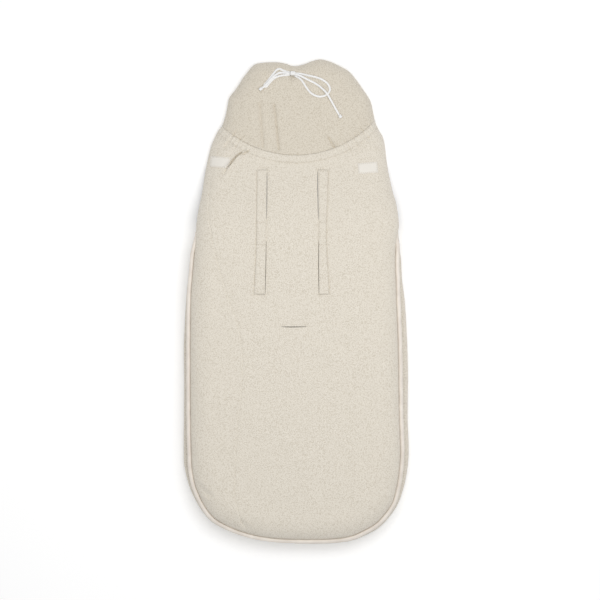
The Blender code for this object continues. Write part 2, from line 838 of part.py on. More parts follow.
def make_bow():
    """The bow knot, two loops, two tails and the knots at their ends."""
    knot_z = hood_top_z(KNOT_X, KNOT_Y) + GAP + KNOT_HEIGHT / 2 + KNOT_SEAT
    size = Vector((KNOT_LENGTH, KNOT_WIDTH, KNOT_HEIGHT))
    room = size + Vector((1, 1, 1)) * 2 * GAP
    centre = Vector((KNOT_X, KNOT_Y, knot_z))
    pieces = [ellipsoid("bow_knot", centre, size, 0, CORD, PARTS)]
    knot_room = ellipsoid("bow_knot_room", centre, room, 0, None, CUTTERS)
    end_size = Vector((END_KNOT_LENGTH, END_KNOT_DIAMETER, END_KNOT_DIAMETER))
    end_room = end_size + Vector((1, 1, 1)) * 2 * GAP
    for side_name, loop_route, tail_route in (
        ("left", LEFT_LOOP_ROUTE, LEFT_TAIL_ROUTE),
        ("right", RIGHT_LOOP_ROUTE, RIGHT_TAIL_ROUTE),
    ):
        loop = tube(f"{side_name}_bow_loop", lay_on_hood(loop_route), CORD_DIAMETER, CORD)
        loop = settle(loop)
        combine(loop, knot_room, "DIFFERENCE")
        path = lay_on_hood(tail_route)
        tail = settle(tube(f"{side_name}_bow_tail", path, CORD_DIAMETER, CORD))
        combine(tail, knot_room, "DIFFERENCE")
        along = (path[-1] - path[-2]).normalized()
        heading = math.atan2(along.y, along.x)
        rise = (END_KNOT_DIAMETER - CORD_DIAMETER) / 2
        end_centre = path[-1] + Vector((0, 0, rise))
        name = f"{side_name}_cord_end_knot"
        pieces.append(ellipsoid(name, end_centre, end_size, heading, CORD, PARTS))
        end_cutter = ellipsoid(f"{name}_room", end_centre, end_room, heading, None, CUTTERS)
        combine(tail, end_cutter, "DIFFERENCE")
        pieces += [loop, tail]
    return pieces


# Zips


def zip_face_x():
    """The outer face of the zip tape, just inside the narrowest part of the piped edge."""
    narrowest = min(share for share, _ in SIDE_SHARES[:PIPED_POINTS])
    return narrowest * FABRIC_HALF_WIDTH - ZIP_INSET


def side_box(name, side, x_range, y_range, z_range, material, collection):
    """A box given by its distances from the middle plane, on one side of it."""
    near, far = side * x_range[0], side * x_range[1]
    low = (min(near, far), y_range[0], z_range[0])
    high = (max(near, far), y_range[1], z_range[1])
    return box(name, low, high, material, collection)


def zip_levels():
    seam_z = (FRONT_RIM_Z + BACK_RIM_Z) / 2
    return (
        ("front", FRONT_RIM_Z + GAP, seam_z - GAP / 2, -1),
        ("back", seam_z + GAP / 2, BACK_RIM_Z - GAP, 1),
    )


def make_zip_halves():
    """For each side and each half: its tape, its coil and its top stop."""
    pieces = {"front": [], "back": []}
    face = zip_face_x()
    top_y = FRONT_TOP_Y - ZIP_END_MARGIN
    coil_y = (ZIP_BOTTOM_Y + COIL_BOTTOM_MARGIN, top_y - COIL_TOP_MARGIN)
    stop_low_y = coil_y[1] + SLIDER_LENGTH + 4 * GAP
    coil_x = (face + GAP, face + GAP + COIL_DEPTH)
    stop_x = (face + GAP, face + GAP + STOP_THICK)
    for half, low_z, high_z, up in zip_levels():
        inner_z = high_z if up < 0 else low_z
        coil_z = sorted((inner_z, inner_z + up * COIL_HEIGHT))
        stop_z = sorted((inner_z, inner_z + up * STOP_HEIGHT))
        for side_name, side in (("left", -1), ("right", 1)):
            start = f"{side_name}_{half}_zip"
            tape = side_box(
                f"{start}_tape", side, (face - TAPE_THICK, face), (ZIP_BOTTOM_Y, top_y),
                (low_z, high_z), TAPE, PARTS,
            )
            coil = side_box(f"{start}_coil", side, coil_x, coil_y, coil_z, COIL, PARTS)
            stop = side_box(
                f"{start}_top_stop", side, stop_x, (stop_low_y, stop_low_y + STOP_LENGTH),
                stop_z, METAL, PARTS,
            )
            pieces[half] += [tape, coil, stop]
    return pieces


def make_bottom_stops():
    """Metal staples below the coils, where the sliders stop."""
    face = zip_face_x()
    high_y = ZIP_BOTTOM_Y + COIL_BOTTOM_MARGIN - SLIDER_LENGTH - 4 * GAP
    _, _, high_z, _ = zip_levels()[0]
    z_range = (high_z - STOP_HEIGHT, high_z)
    x_range = (face + GAP, face + GAP + STOP_THICK)
    for side_name, side in (("left", -1), ("right", 1)):
        side_box(
            f"{side_name}_zip_bottom_stop", side, x_range, (high_y - STOP_LENGTH, high_y),
            z_range, METAL, PARTS,
        )


def slider_middle_y():
    return FRONT_TOP_Y - ZIP_END_MARGIN - COIL_TOP_MARGIN + 2 * GAP + SLIDER_LENGTH / 2


def lug_x():
    plate_x = zip_face_x() + GAP + COIL_DEPTH + SLIDER_PLAY + SLIDER_PLATE
    return plate_x + LUG_HOLE_RADIUS


def make_slider(side_name, side):
    """A channel that holds both coils, with a pierced lug for the pull."""
    face = zip_face_x()
    seam_z = (FRONT_RIM_Z + BACK_RIM_Z) / 2
    middle_y = slider_middle_y()
    y_range = (middle_y - SLIDER_LENGTH / 2, middle_y + SLIDER_LENGTH / 2)
    groove_x = face + GAP + COIL_DEPTH + SLIDER_PLAY
    groove_half = GAP / 2 + COIL_HEIGHT + SLIDER_PLAY
    half_height = groove_half + SLIDER_FLANGE
    name = f"{side_name}_zip_slider"
    slider = side_box(
        name, side, (face + GAP, groove_x + SLIDER_PLATE), y_range,
        (seam_z - half_height, seam_z + half_height), METAL, PARTS,
    )
    groove = side_box(
        f"{name}_groove", side, (face - SLIDER_PLAY, groove_x),
        (y_range[0] - SLIDER_PLAY, y_range[1] + SLIDER_PLAY),
        (seam_z - groove_half, seam_z + groove_half), None, CUTTERS,
    )
    centre = (side * lug_x(), middle_y, seam_z)
    lug = cylinder(
        f"{name}_lug", centre, LUG_RADIUS, LUG_THICK, SMALL_ROUND_SIDES, None, CUTTERS,
    )
    hole = cylinder(
        f"{name}_lug_hole", centre, LUG_HOLE_RADIUS, 2 * LUG_THICK, SMALL_ROUND_SIDES, None,
        CUTTERS,
    )
    combine(slider, lug, "UNION")
    combine(slider, groove, "DIFFERENCE")
    combine(slider, hole, "DIFFERENCE")
    return slider


def make_pull(side_name, side):
    """A flat tab whose end bar turns in the slider's lug."""
    seam_z = (FRONT_RIM_Z + BACK_RIM_Z) / 2
    middle_y = slider_middle_y()
    name = f"{side_name}_zip_pull"
    x_range = (lug_x() - PULL_THICK / 2, lug_x() + PULL_THICK / 2)
    z_range = (seam_z - PULL_WIDTH / 2, seam_z + PULL_WIDTH / 2)
    pull = side_box(name, side, x_range, (middle_y - PULL_LENGTH, middle_y), z_range, METAL, PARTS)
    window = side_box(
        f"{name}_window", side,
        (x_range[0] - PULL_THICK, x_range[1] + PULL_THICK),
        (middle_y - PULL_WINDOW_LENGTH, middle_y + PULL_BAR_RADIUS),
        (seam_z - PULL_WINDOW_WIDTH / 2, seam_z + PULL_WINDOW_WIDTH / 2), None, CUTTERS,
    )
    centre = (side * lug_x(), middle_y, seam_z)
    bar = cylinder(
        f"{name}_bar", centre, PULL_BAR_RADIUS, PULL_WIDTH, SMALL_ROUND_SIDES, None, CUTTERS,
    )
    combine(pull, window, "DIFFERENCE")
    combine(pull, bar, "UNION")
    return pull


# Assembly


empty_scene()
PARTS = new_collection("stroller_footmuff")
CUTTERS = new_collection("cutters")
FLEECE = teddy_fleece()
LINING = cotton_lining()
WADDING = polyester_wadding()
PIPING = satin_piping()
TAPE = woven_tape()
COIL = nylon_coil()
METAL = nickel_plate()
FASTENING = fastening_tape()
ELASTIC = knitted_elastic()
CORD = braided_cord()
OUTLINE = fabric_outline()
STEPS_IN = inward_steps(OUTLINE)
KNOT_Y = channel_ring()[2 * FOOT_STEPS + 1 + len(SIDE_SHARES) + HOOD_EXIT_POINT][1]
KNOT_SEAT = GAP


def main():
    hood_side = neck_cutter("hood_side_cutter", 0)
    hood_region = neck_cutter("hood_region", -GAP)
    make_front_cover(front_cutter())
    make_front_top_binding()
    make_foot_gusset()
    zip_pieces = make_zip_halves()
    make_bottom_stops()
    on_back = make_back_panel(slot_cutters(), hood_side)
    on_back += make_shoulder_tapes(hood_side)
    on_back += make_neck_band(hood_side)
    on_back += make_slot_welts()
    on_back += make_shoulder_patches()
    on_back.append(make_edge_piping())
    on_back += zip_pieces["back"]
    on_hood = make_hood(hood_region)
    on_hood += make_drawstring_runs()
    on_hood += make_bow()
    back_hinge_y = -HALF_LENGTH - BACK_HINGE_MARGIN
    back_hinge = hinge_point("back_hinge", (0, back_hinge_y, BACK_HINGE_Z))
    hood_hinge_z = BACK_TOP_Z - HEAD_DROP + BAND_THICK + HOOD_HINGE_RISE
    hood_hinge = hinge_point("hood_hinge", (0, NECK_Y, hood_hinge_z), back_hinge)
    for obj in on_back:
        hang(obj, back_hinge)
    for obj in on_hood:
        hang(obj, hood_hinge)
    seam_z = (FRONT_RIM_Z + BACK_RIM_Z) / 2
    for side_name, side in (("left", -1), ("right", 1)):
        slider = make_slider(side_name, side)
        pull = make_pull(side_name, side)
        place = (side * lug_x(), slider_middle_y(), seam_z)
        pull_hinge = hinge_point(f"{side_name}_pull_hinge", place)
        hang(pull, pull_hinge)
        hang(pull_hinge, slider)


main()
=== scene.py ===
# Looks of the stroller footmuff, laid out as an add-on and run as a script.
# Metres and +Z up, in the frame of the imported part. The footmuff lies face down.

import math

import bmesh
import bpy
import numpy as np
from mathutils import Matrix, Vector, noise
from mathutils.geometry import delaunay_2d_cdt


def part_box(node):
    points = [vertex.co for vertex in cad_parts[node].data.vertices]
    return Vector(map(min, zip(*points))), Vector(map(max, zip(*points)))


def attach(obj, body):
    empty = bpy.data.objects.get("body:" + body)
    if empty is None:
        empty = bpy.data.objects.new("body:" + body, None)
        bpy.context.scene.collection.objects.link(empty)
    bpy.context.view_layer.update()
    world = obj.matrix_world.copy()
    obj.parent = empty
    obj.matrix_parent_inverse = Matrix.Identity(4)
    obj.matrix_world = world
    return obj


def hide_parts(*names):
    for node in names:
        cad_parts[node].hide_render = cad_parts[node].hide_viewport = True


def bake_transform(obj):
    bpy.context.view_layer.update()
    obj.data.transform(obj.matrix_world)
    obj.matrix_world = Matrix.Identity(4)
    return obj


bl_info = {
    "name": "Stroller footmuff",
    "version": (1, 0, 0),
    "blender": (4, 5, 0),
    "location": "View3D > Sidebar > Footmuff",
    "description": "Builds the visible pieces of a padded stroller footmuff",
    "category": "Add Mesh",
}

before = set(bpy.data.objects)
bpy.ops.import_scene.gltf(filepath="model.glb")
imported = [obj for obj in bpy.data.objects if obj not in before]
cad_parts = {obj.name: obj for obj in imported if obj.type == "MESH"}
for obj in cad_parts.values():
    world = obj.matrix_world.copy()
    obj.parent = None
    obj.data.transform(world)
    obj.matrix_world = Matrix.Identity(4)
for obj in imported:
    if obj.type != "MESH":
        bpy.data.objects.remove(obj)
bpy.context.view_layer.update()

# Sizes shared with the part
HALF_LENGTH = -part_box("edge_piping")[0][1]
HALF_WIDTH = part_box("edge_piping")[1][0]
GAP = 0.0003
PIPING_DIAMETER = 0.007
FABRIC_HALF_WIDTH = HALF_WIDTH - PIPING_DIAMETER - GAP
FRONT_RIM_Z = 0.028
BACK_RIM_Z = 0.042
BACK_TOP_Z = 0.074
EDGE_ROUND = 0.045
INNER_DEPTH = 0.0151
HOOD_INNER_DEPTH = 0.0107
FRONT_TOP_Y = 0.150
LOW_Y = 0.283
HEAD_DROP = 0.034
NECK_Y = 0.3014
NECK_RADIUS = 0.222
NECK_HALF_TURN = 0.9
NECK_CENTRE_Y = NECK_Y + NECK_RADIUS
BAND_WIDTH = 0.016
BAND_END_TURN = 0.03
BAND_STITCH_INSET = 0.0014
BAND_STITCH_LIFT = 0.0010
SIDES = (("left", -1), ("right", 1))

# Outline of the fabric: shares of its half width and of the half length
FOOT_SHARES = (
    (-0.994, -0.600), (-0.986, -0.680), (-0.961, -0.746), (-0.922, -0.793), (-0.867, -0.840),
    (-0.807, -0.876), (-0.739, -0.902), (-0.604, -0.932), (-0.467, -0.953), (-0.331, -0.967),
    (-0.160, -0.976), (0.043, -0.979), (0.315, -0.978), (0.506, -0.968), (0.627, -0.948),
    (0.763, -0.914), (0.858, -0.870), (0.927, -0.823), (0.966, -0.758), (0.984, -0.712),
    (0.996, -0.655),
)
RIGHT_SHARES = (
    (1.000, -0.600), (0.990, -0.480), (0.985, -0.360), (0.982, -0.240), (0.974, -0.120),
    (0.963, 0.000), (0.958, 0.080), (0.952, 0.160), (0.955, 0.220), (0.971, 0.275),
    (0.985, 0.320), (0.962, 0.400), (0.928, 0.452), (0.904, 0.500), (0.881, 0.550),
    (0.865, 0.600), (0.853, 0.645),
)
LEFT_SHARES = (
    (-1.000, -0.480), (-1.002, -0.240), (-1.001, -0.120), (-0.998, 0.000), (-0.991, 0.060),
    (-0.980, 0.116), (-0.967, 0.180), (-0.953, 0.240), (-0.947, 0.285), (-0.943, 0.320),
    (-0.932, 0.360), (-0.914, 0.400), (-0.890, 0.452), (-0.874, 0.500), (-0.855, 0.550),
    (-0.830, 0.600), (-0.803, 0.645),
)
HOOD_SHARES = (
    (0.834, 0.680), (0.803, 0.703), (0.776, 0.726), (0.756, 0.750), (0.740, 0.785),
    (0.713, 0.830), (0.645, 0.876), (0.571, 0.921), (0.505, 0.952), (0.420, 0.973),
    (0.335, 0.990), (0.240, 1.000), (0.160, 0.993), (0.075, 0.979), (-0.014, 0.972),
    (-0.090, 0.982), (-0.170, 0.988), (-0.300, 0.987), (-0.379, 0.981), (-0.424, 0.966),
    (-0.464, 0.944), (-0.500, 0.924), (-0.536, 0.899), (-0.582, 0.870), (-0.634, 0.840),
    (-0.650, 0.805), (-0.670, 0.765), (-0.700, 0.728), (-0.742, 0.703), (-0.773, 0.675),
)

# How fine the meshes are
OUTLINE_STEP = 0.004
SEAM_STEP = 0.003
FOLD_STEP = 0.006
RIM_INSETS = (0.0006, 0.0020, 0.0042, 0.0072, 0.0110)
PLAN_SPACING = 0.0038
TRIANGLE_HEIGHT = 0.866
MERGE_DISTANCE = 0.00002
PAD_SKIN = 0.0001
SHARP_ANGLE = math.radians(48)
# Points measured at one time, so that the arrays stay small
CHUNK = 4000

# Slots and what is sewn on the back: x and y down each slit and down each welt's outer edge
UPPER_SLOT_Y = (0.170, 0.266)
LOWER_SLOT_Y = (0.018, 0.124)
LEFT_SLIT = ((-0.0586, 0.2712), (-0.0591, 0.200), (-0.0601, 0.116), (-0.0621, 0.0145))
RIGHT_SLIT = ((0.0452, 0.2712), (0.0466, 0.200), (0.0472, 0.116), (0.0478, 0.0145))
LEFT_WELT_EDGE = (
    (-0.0796, 0.2712), (-0.0797, 0.220), (-0.0804, 0.170), (-0.0806, 0.116), (-0.0830, 0.060),
    (-0.0858, 0.0145),
)
RIGHT_WELT_EDGE = (
    (0.0675, 0.2712), (0.0662, 0.220), (0.0640, 0.170), (0.0638, 0.116), (0.0668, 0.060),
    (0.0695, 0.0145),
)
WELTS = (("left", -1, LEFT_SLIT, LEFT_WELT_EDGE), ("right", 1, RIGHT_SLIT, RIGHT_WELT_EDGE))
WELT_Y = (0.0145, 0.2712)
WELT_BOX_Y = (0.1165, 0.1625)
SLOT_OPENINGS = (0.0021, 0.0013)
CROTCH_SLIT = ((-0.0290, -0.0518), (-0.0030, -0.0522), (0.0230, -0.0516))
CROTCH_OPENING = 0.0015
# Depth and half width of the groove round each welt and of the rows across its box
WELT_GROOVE = (0.0012, 0.0013)
WELT_BOX_PRESS = (0.0015, 0.0018)
# A stitch shows as this share of its pitch, the rest is the gap to the next one
STITCH_SHARE = 0.7
STITCH_INSET = 0.0025
PATCH_STITCH_INSET = 0.002
# Middle and tilt in degrees of the left and the right patch
PATCH_SIZE = (0.0405, 0.0225)
PATCHES = ((-0.1555, 0.2870, -5.0), (0.1490, 0.2750, 5.0))

# The front cover swells beyond the piping: y, and how far on the left and on the right
FRONT_SWELL = (
    (-0.500, 0.0160, 0.0160), (-0.460, 0.0170, 0.0190), (-0.410, 0.0185, 0.0195),
    (-0.380, 0.0200, 0.0228), (-0.330, 0.0245, 0.0255), (-0.244, 0.0215, 0.0251),
    (-0.160, 0.0205, 0.0278), (-0.090, 0.0215, 0.0274), (-0.038, 0.0190, 0.0265),
    (0.003, 0.0165, 0.0252), (0.044, 0.0153, 0.0200), (0.085, 0.0143, 0.0196),
    (0.118, 0.0120, 0.0140), (0.140, 0.0050, 0.0050), (0.150, 0.0000, 0.0000),
)

# The piping ends on each side at one height and tucks in under the back towards its ends
PIPING_TOP_Y = 0.140
PIPING_RISE = 0.0032
PIPING_TUCK_LENGTHS = (0.045, 0.030)
PIPING_TUCK = 0.0062
PIPING_TUCK_DROP = 0.003

# Strips of cloth that follow the outline
STRIP_CORNER = 0.003
STRIP_INSET = 0.0004
HEM_WIDTH = 0.0100
SHOULDER_TAPE_WIDTH = 0.0140
FOOT_WALL_INSET = 0.0002
FOOT_WALL_WIDTH = 0.0135
BINDING_WIDTH = 0.0042
BINDING_CORNER = 0.0012
BINDING_REACH = 0.0025

# Zips
ZIP_LOW_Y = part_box("right_back_zip_tape")[0][1]
TOOTH_PITCH = 0.0016
TOOTH_SIZE = (0.0026, 0.0030, 0.0012)
COIL_MARGIN = 0.001
TAPE_CORNER = 0.0005
TAPE_STEP = 0.006

# Folds and seams: points in plan, depth and half width
BACK_CREASES = (
    (((-0.1120, 0.3060), (-0.1203, 0.3005), (-0.1286, 0.2912), (-0.1347, 0.2829),
      (-0.1395, 0.2770)), 0.0066, 0.0019),
    (((-0.1395, 0.2770), (-0.1430, 0.2727), (-0.1480, 0.2630)), 0.0026, 0.0022),
    (((-0.0975, 0.3095), (-0.1020, 0.3080), (-0.1065, 0.3035)), 0.0040, 0.0016),
)
BACK_FOLDS = (
    (((0.030, -0.0640), (0.060, -0.0800), (0.090, -0.0900)), 0.0016, 0.0110),
    (((-0.198, -0.378), (-0.186, -0.392), (-0.176, -0.398)), 0.0034, 0.0048),
    (((-0.110, -0.452), (-0.098, -0.468), (-0.086, -0.478)), 0.0026, 0.0040),
    (((-0.182, 0.318), (-0.160, 0.316), (-0.136, 0.322)), 0.0026, 0.0060),
    (((0.184, 0.322), (0.160, 0.314), (0.138, 0.318)), 0.0028, 0.0055),
    (((0.182, 0.300), (0.156, 0.302), (0.128, 0.308)), 0.0020, 0.0045),
    (((-0.150, 0.200), (-0.100, 0.150), (-0.090, 0.060)), 0.0014, 0.0200),
    (((0.190, 0.060), (0.130, 0.010), (0.100, -0.080)), 0.0014, 0.0200),
    (((0.110, -0.360), (0.150, -0.300), (0.160, -0.200)), 0.0012, 0.0180),
)
SIDE_SEAMS = (
    (((-0.1759, 0.2541), (-0.178, 0.178), (-0.1656, 0.106), (-0.1554, 0.0648), (-0.1389, 0.0093),
      (-0.122, -0.0319), (-0.1125, -0.0750), (-0.1085, -0.1204), (-0.1107, -0.182),
      (-0.1183, -0.250), (-0.121, -0.285), (-0.1245, -0.3817), (-0.121, -0.4146),
      (-0.1107, -0.4537)), 0.0009, 0.0013),
    (((0.158, 0.245), (0.158, 0.178), (0.148, 0.106), (0.1286, 0.0586), (0.118, 0.000),
      (0.112, -0.030), (0.107, -0.100), (0.109, -0.200), (0.114, -0.300), (0.119, -0.382),
      (0.116, -0.450)), 0.0006, 0.0013),
)
HOOD_CREASES = (
    (((0.0676, 0.3380), (0.0750, 0.3250), (0.0848, 0.3082)), 0.0034, 0.0022),
    (((-0.0440, 0.4040), (-0.0395, 0.3650), (-0.0345, 0.3130)), 0.0034, 0.0024),
    (((-0.0735, 0.4080), (-0.0705, 0.3650), (-0.0672, 0.3180)), 0.0030, 0.0028),
)
HOOD_FOLDS = (
    (((-0.012, 0.490), (-0.009, 0.476), (-0.006, 0.462)), 0.0044, 0.0060),
    (((-0.104, 0.470), (-0.080, 0.462), (-0.060, 0.456)), 0.0018, 0.0070),
    (((0.110, 0.468), (0.095, 0.450), (0.085, 0.430)), 0.0014, 0.0070),
    (((0.020, 0.455), (0.010, 0.400), (0.014, 0.340)), 0.0014, 0.0160),
    (((-0.120, 0.420), (-0.112, 0.380), (-0.116, 0.340)), 0.0014, 0.0120),
    (((0.128, 0.420), (0.118, 0.380), (0.124, 0.345)), 0.0014, 0.0110),
)
SEAM_ROWS = (0.0013, 0.0027)
ROW_CLEARANCE = SEAM_ROWS[0] * 0.8
CREVICE_DEPTH = 0.0013
CREVICE_WIDTH = 0.0017
PUCKER_DEPTH = 0.0012
LIP_DEPTH = 0.0016
LIP_WIDTH = 0.0018
RUFFLE_HEIGHT = 0.0022
GATHER_LENGTHS = (0.034, 0.021)
GATHER_HEIGHT = 0.0016
# Padding is never even: size, height and seed of each swell
UNEVENNESS = ((0.055, 0.0013, 3.0), (0.022, 0.0006, 9.0))

# The drawstring: x, y and, where it crosses another cord, its height over the hood
CORD_DIAMETER = 0.0045
RIGHT_LOOP_ROUTE = (
    (-0.0010, 0.4700), (0.0110, 0.4688), (0.0245, 0.4658), (0.0389, 0.4625), (0.0530, 0.4578),
    (0.0634, 0.4508), (0.0698, 0.4422), (0.0706, 0.4345), (0.0663, 0.4276), (0.0586, 0.4230),
    (0.0490, 0.4218), (0.0389, 0.4247), (0.0302, 0.4305), (0.0228, 0.4400), (0.0165, 0.4500),
    (0.0090, 0.4590), (-0.0015, 0.4652),
)
RIGHT_TAIL_ROUTE = (
    (-0.0010, 0.4680, 0.0050), (0.0060, 0.4660, 0.0050), (0.0140, 0.4625, 0.0038),
    (0.0225, 0.4580, 0.0012), (0.0330, 0.4530, 0.0000), (0.0447, 0.4465, 0.0002),
    (0.0562, 0.4370, 0.0022), (0.0648, 0.4276, 0.0049), (0.0720, 0.4159, 0.0022),
    (0.0792, 0.4031, 0.0000), (0.0864, 0.3901, 0.0000), (0.0922, 0.3808, 0.0000),
)
LEFT_LOOP_ROUTE = (
    (-0.0123, 0.4718), (-0.0196, 0.4737), (-0.0257, 0.4759), (-0.0313, 0.4786), (-0.0360, 0.4786),
    (-0.0401, 0.4757), (-0.0446, 0.4702), (-0.0498, 0.4634), (-0.0554, 0.4562), (-0.0609, 0.4494),
    (-0.0638, 0.4461), (-0.0645, 0.4441), (-0.0634, 0.4423), (-0.0613, 0.4417), (-0.0595, 0.4427),
    (-0.0575, 0.4452), (-0.0530, 0.4504), (-0.0471, 0.4566), (-0.0405, 0.4613), (-0.0329, 0.4642),
    (-0.0237, 0.4658), (-0.0175, 0.4662), (-0.0123, 0.4669),
)
LEFT_TAIL_ROUTE = (
    (-0.0123, 0.4693, 0.0050), (-0.0195, 0.4702, 0.0036), (-0.0257, 0.4710, 0.0000),
    (-0.0319, 0.4708, 0.0000), (-0.0374, 0.4689, 0.0000), (-0.0451, 0.4628, 0.0030),
    (-0.0506, 0.4570, 0.0039), (-0.0566, 0.4502, 0.0044), (-0.0619, 0.4444, 0.0048),
    (-0.0665, 0.4407, 0.0044), (-0.0689, 0.4391, 0.0024), (-0.0714, 0.4374, 0.0000),
)
CORD_ROUTES = (RIGHT_LOOP_ROUTE, RIGHT_TAIL_ROUTE, LEFT_LOOP_ROUTE, LEFT_TAIL_ROUTE)
CORD_STEP = 0.0025
CORD_SETTLE = 7
CORD_BED = 0.0034
CORD_BED_WIDTH = 0.0027
KNOT_WRAPS = 3
RUN_INSET = 0.0170
RUN_DEPTH = 0.0054
RUN_START = 0.002
RUN_CLEAR = 0.006

# Camera, floor and light
PHOTO_PIXELS = 600
MILLIMETRES_PER_PIXEL = 2.0576
PHOTO_CENTRE = (0.0093, 0.0031)
LENS = 250.0
SENSOR = 36.0
KEY_PLACE = (0.22, 0.23, 1.6)
KEY_SIZE = 1.0
FLOOR_HALF = 6
VIEW_END = 20


# Shapes in plan


def smooth_path(points, step, closed=False):
    """Points about one step apart on a smooth curve through the given ones."""
    places = np.array(points, float)
    if closed:
        places = np.vstack([places[-1:], places, places[:2]])
    else:
        places = np.vstack([2 * places[0] - places[1], places, 2 * places[-1] - places[-2]])
    result = []
    for before, start, end, after in zip(places, places[1:], places[2:], places[3:]):
        count = max(1, round(np.linalg.norm(end - start) / step))
        t = (np.arange(count) / count)[:, None]
        result.append((
            2 * start + (end - before) * t
            + (2 * before - 5 * start + 4 * end - after) * t ** 2
            + (3 * start - before - 3 * end + after) * t ** 3
        ) / 2)
    if not closed:
        result.append(places[-2:-1])
    return np.vstack(result)


def fabric_outline():
    """From the foot's left side round the foot, up the right side and back down the left."""
    shares = FOOT_SHARES + RIGHT_SHARES + HOOD_SHARES + LEFT_SHARES[::-1]
    points = [(x * FABRIC_HALF_WIDTH, y * HALF_LENGTH) for x, y in shares]
    return smooth_path(points, OUTLINE_STEP, closed=True)


OUTLINE = fabric_outline()


def seam_path(line):
    """A line on the cloth, as points close enough together for a seam."""
    return smooth_path(line, SEAM_STEP)


def slit_lines():
    return [seam_path(line) for line in (LEFT_SLIT, RIGHT_SLIT, CROTCH_SLIT)]


def welt_outlines():
    """The three sewn sides of each welt, from the slit's top end round to its lower end."""
    return [np.vstack([slit[0], seam_path(edge), slit[-1]]) for _, _, slit, edge in WELTS]


def across_at(line, y):
    """The x of a line that runs down the back, at each given y."""
    path = seam_path(line)[::-1]
    return np.interp(y, path[:, 1], path[:, 0])


def ring_normals(ring):
    """Unit normals that point into an anticlockwise ring."""
    along = np.roll(ring, -1, 0) - np.roll(ring, 1, 0)
    along /= np.linalg.norm(along, axis=1)[:, None]
    return np.column_stack([-along[:, 1], along[:, 0]])


def nearest_on_outline(places):
    """Each point's distance to the outline, and how far round the outline that is."""
    along = np.roll(OUTLINE, -1, 0) - OUTLINE
    squared = (along ** 2).sum(1)
    lengths = np.sqrt(squared)
    travelled = np.concatenate([[0], np.cumsum(lengths)[:-1]])
    distance, travel = np.empty(len(places)), np.empty(len(places))
    for first in range(0, len(places), CHUNK):
        chunk = slice(first, first + CHUNK)
        part = places[chunk, None, :]
        share = np.clip(((part - OUTLINE) * along).sum(2) / squared, 0, 1)
        away = np.sqrt(((part - OUTLINE - share[..., None] * along) ** 2).sum(2))
        best = away.argmin(1)
        rows = np.arange(len(best))
        distance[chunk] = away[rows, best]
        travel[chunk] = travelled[best] + share[rows, best] * lengths[best]
    return distance, travel


def inside_outline(places):
    return inside_loop(places, OUTLINE)


def inside_loop(places, loop):
    inside = np.zeros(len(places), bool)
    x, y = places[:, 0], places[:, 1]
    for (x0, y0), (x1, y1) in zip(loop, np.roll(loop, -1, 0)):
        if y0 == y1:
            continue
        crosses = (y0 > y) != (y1 > y)
        inside ^= crosses & (x < (x1 - x0) * (y - y0) / (y1 - y0) + x0)
    return inside


def beyond_neck(places):
    """How far each point lies on the back's side of the neck seam."""
    return np.hypot(places[:, 0], places[:, 1] - NECK_CENTRE_Y) - NECK_RADIUS


def neck_turn(places):
    """Each point's angle from the middle line, round the centre of the neck's arc."""
    return np.arctan2(places[:, 0], NECK_CENTRE_Y - places[:, 1])


def distance_to_line(places, line):
    nearest = np.full(len(places), 1.0)
    for start, end in zip(line, line[1:]):
        along = end - start
        share = np.clip(((places - start) @ along) / (along @ along), 0, 1)
        away = np.linalg.norm(places - start - share[:, None] * along, axis=1)
        nearest = np.minimum(nearest, away)
    return nearest


def rows_near(places, line, margin):
    """Which of the points lie within a margin of a line's own box."""
    low, high = line.min(0) - margin, line.max(0) + margin
    return np.flatnonzero(((places > low) & (places < high)).all(1))


# Heights


def smooth_share(value, low, high):
    share = np.clip((value - low) / (high - low), 0, 1)
    return share * share * (3 - 2 * share)


def dome(distance, depth):
    share = np.clip((distance - depth) / (EDGE_ROUND - depth), 0, 1)
    return np.sqrt(np.maximum(1 - (1 - share) ** 2, 0))


def head_drop(y):
    share = np.clip((y - FRONT_TOP_Y) / (LOW_Y - FRONT_TOP_Y), 0, 1)
    return HEAD_DROP * (share + smooth_share(share, 0, 1)) / 2


def fold_depth(places, folds):
    """A narrow valley along each fold, with a low swell on both sides of it."""
    depth = np.zeros(len(places))
    for points, deep, half_width in folds:
        line = smooth_path(points, FOLD_STEP) if isinstance(points, tuple) else points
        near = rows_near(places, line, 6 * half_width)
        away = distance_to_line(places[near], line) / half_width
        depth[near] += deep * (np.exp(-away ** 2) - 0.35 * np.exp(-((away - 2.2) / 1.1) ** 2))
    return depth


def soft_unevenness(places, size, height, seed):
    return np.array([noise.noise((x / size, y / size, seed)) * height for x, y in places])


def pucker(turn):
    """How far the band's upper seam strays towards the foot where the elastic gathers it."""
    ends = smooth_share(np.abs(turn), 0.22, 0.55)
    return (1 + np.sin(turn * 140) * np.sin(turn * 61 + 0.7)) * PUCKER_DEPTH * ends


def gather_wave(turn):
    """The small gathers that the elastic draws the cloth into, between -1 and 1."""
    return np.sin(turn * 165) * 0.6 + np.sin(turn * 97 + 1.3) * 0.4


def neck_crevice(places):
    """Both edges roll down where the back and the hood meet, and along the band's lower seam."""
    away = beyond_neck(places) - pucker(neck_turn(places))
    upper = np.exp(-(away / CREVICE_WIDTH) ** 2)
    upper *= 1 - 0.55 * smooth_share(np.abs(places[:, 0]), 0.015, 0.050)
    reach = 1 - smooth_share(-places[:, 0], 0.045, 0.085)
    lower = np.exp(-((away - BAND_WIDTH) / CREVICE_WIDTH) ** 2) * reach
    return CREVICE_DEPTH * (upper + lower * 0.8)


def slot_lips(places):
    """The lips of each slit roll down into it, and the closed middle is a sewn line."""
    depth = np.zeros(len(places))
    for line in slit_lines():
        near = rows_near(places, line, 6 * LIP_WIDTH)
        away = distance_to_line(places[near], line)
        depth[near] += LIP_DEPTH * np.exp(-(away / LIP_WIDTH) ** 2)
    return depth


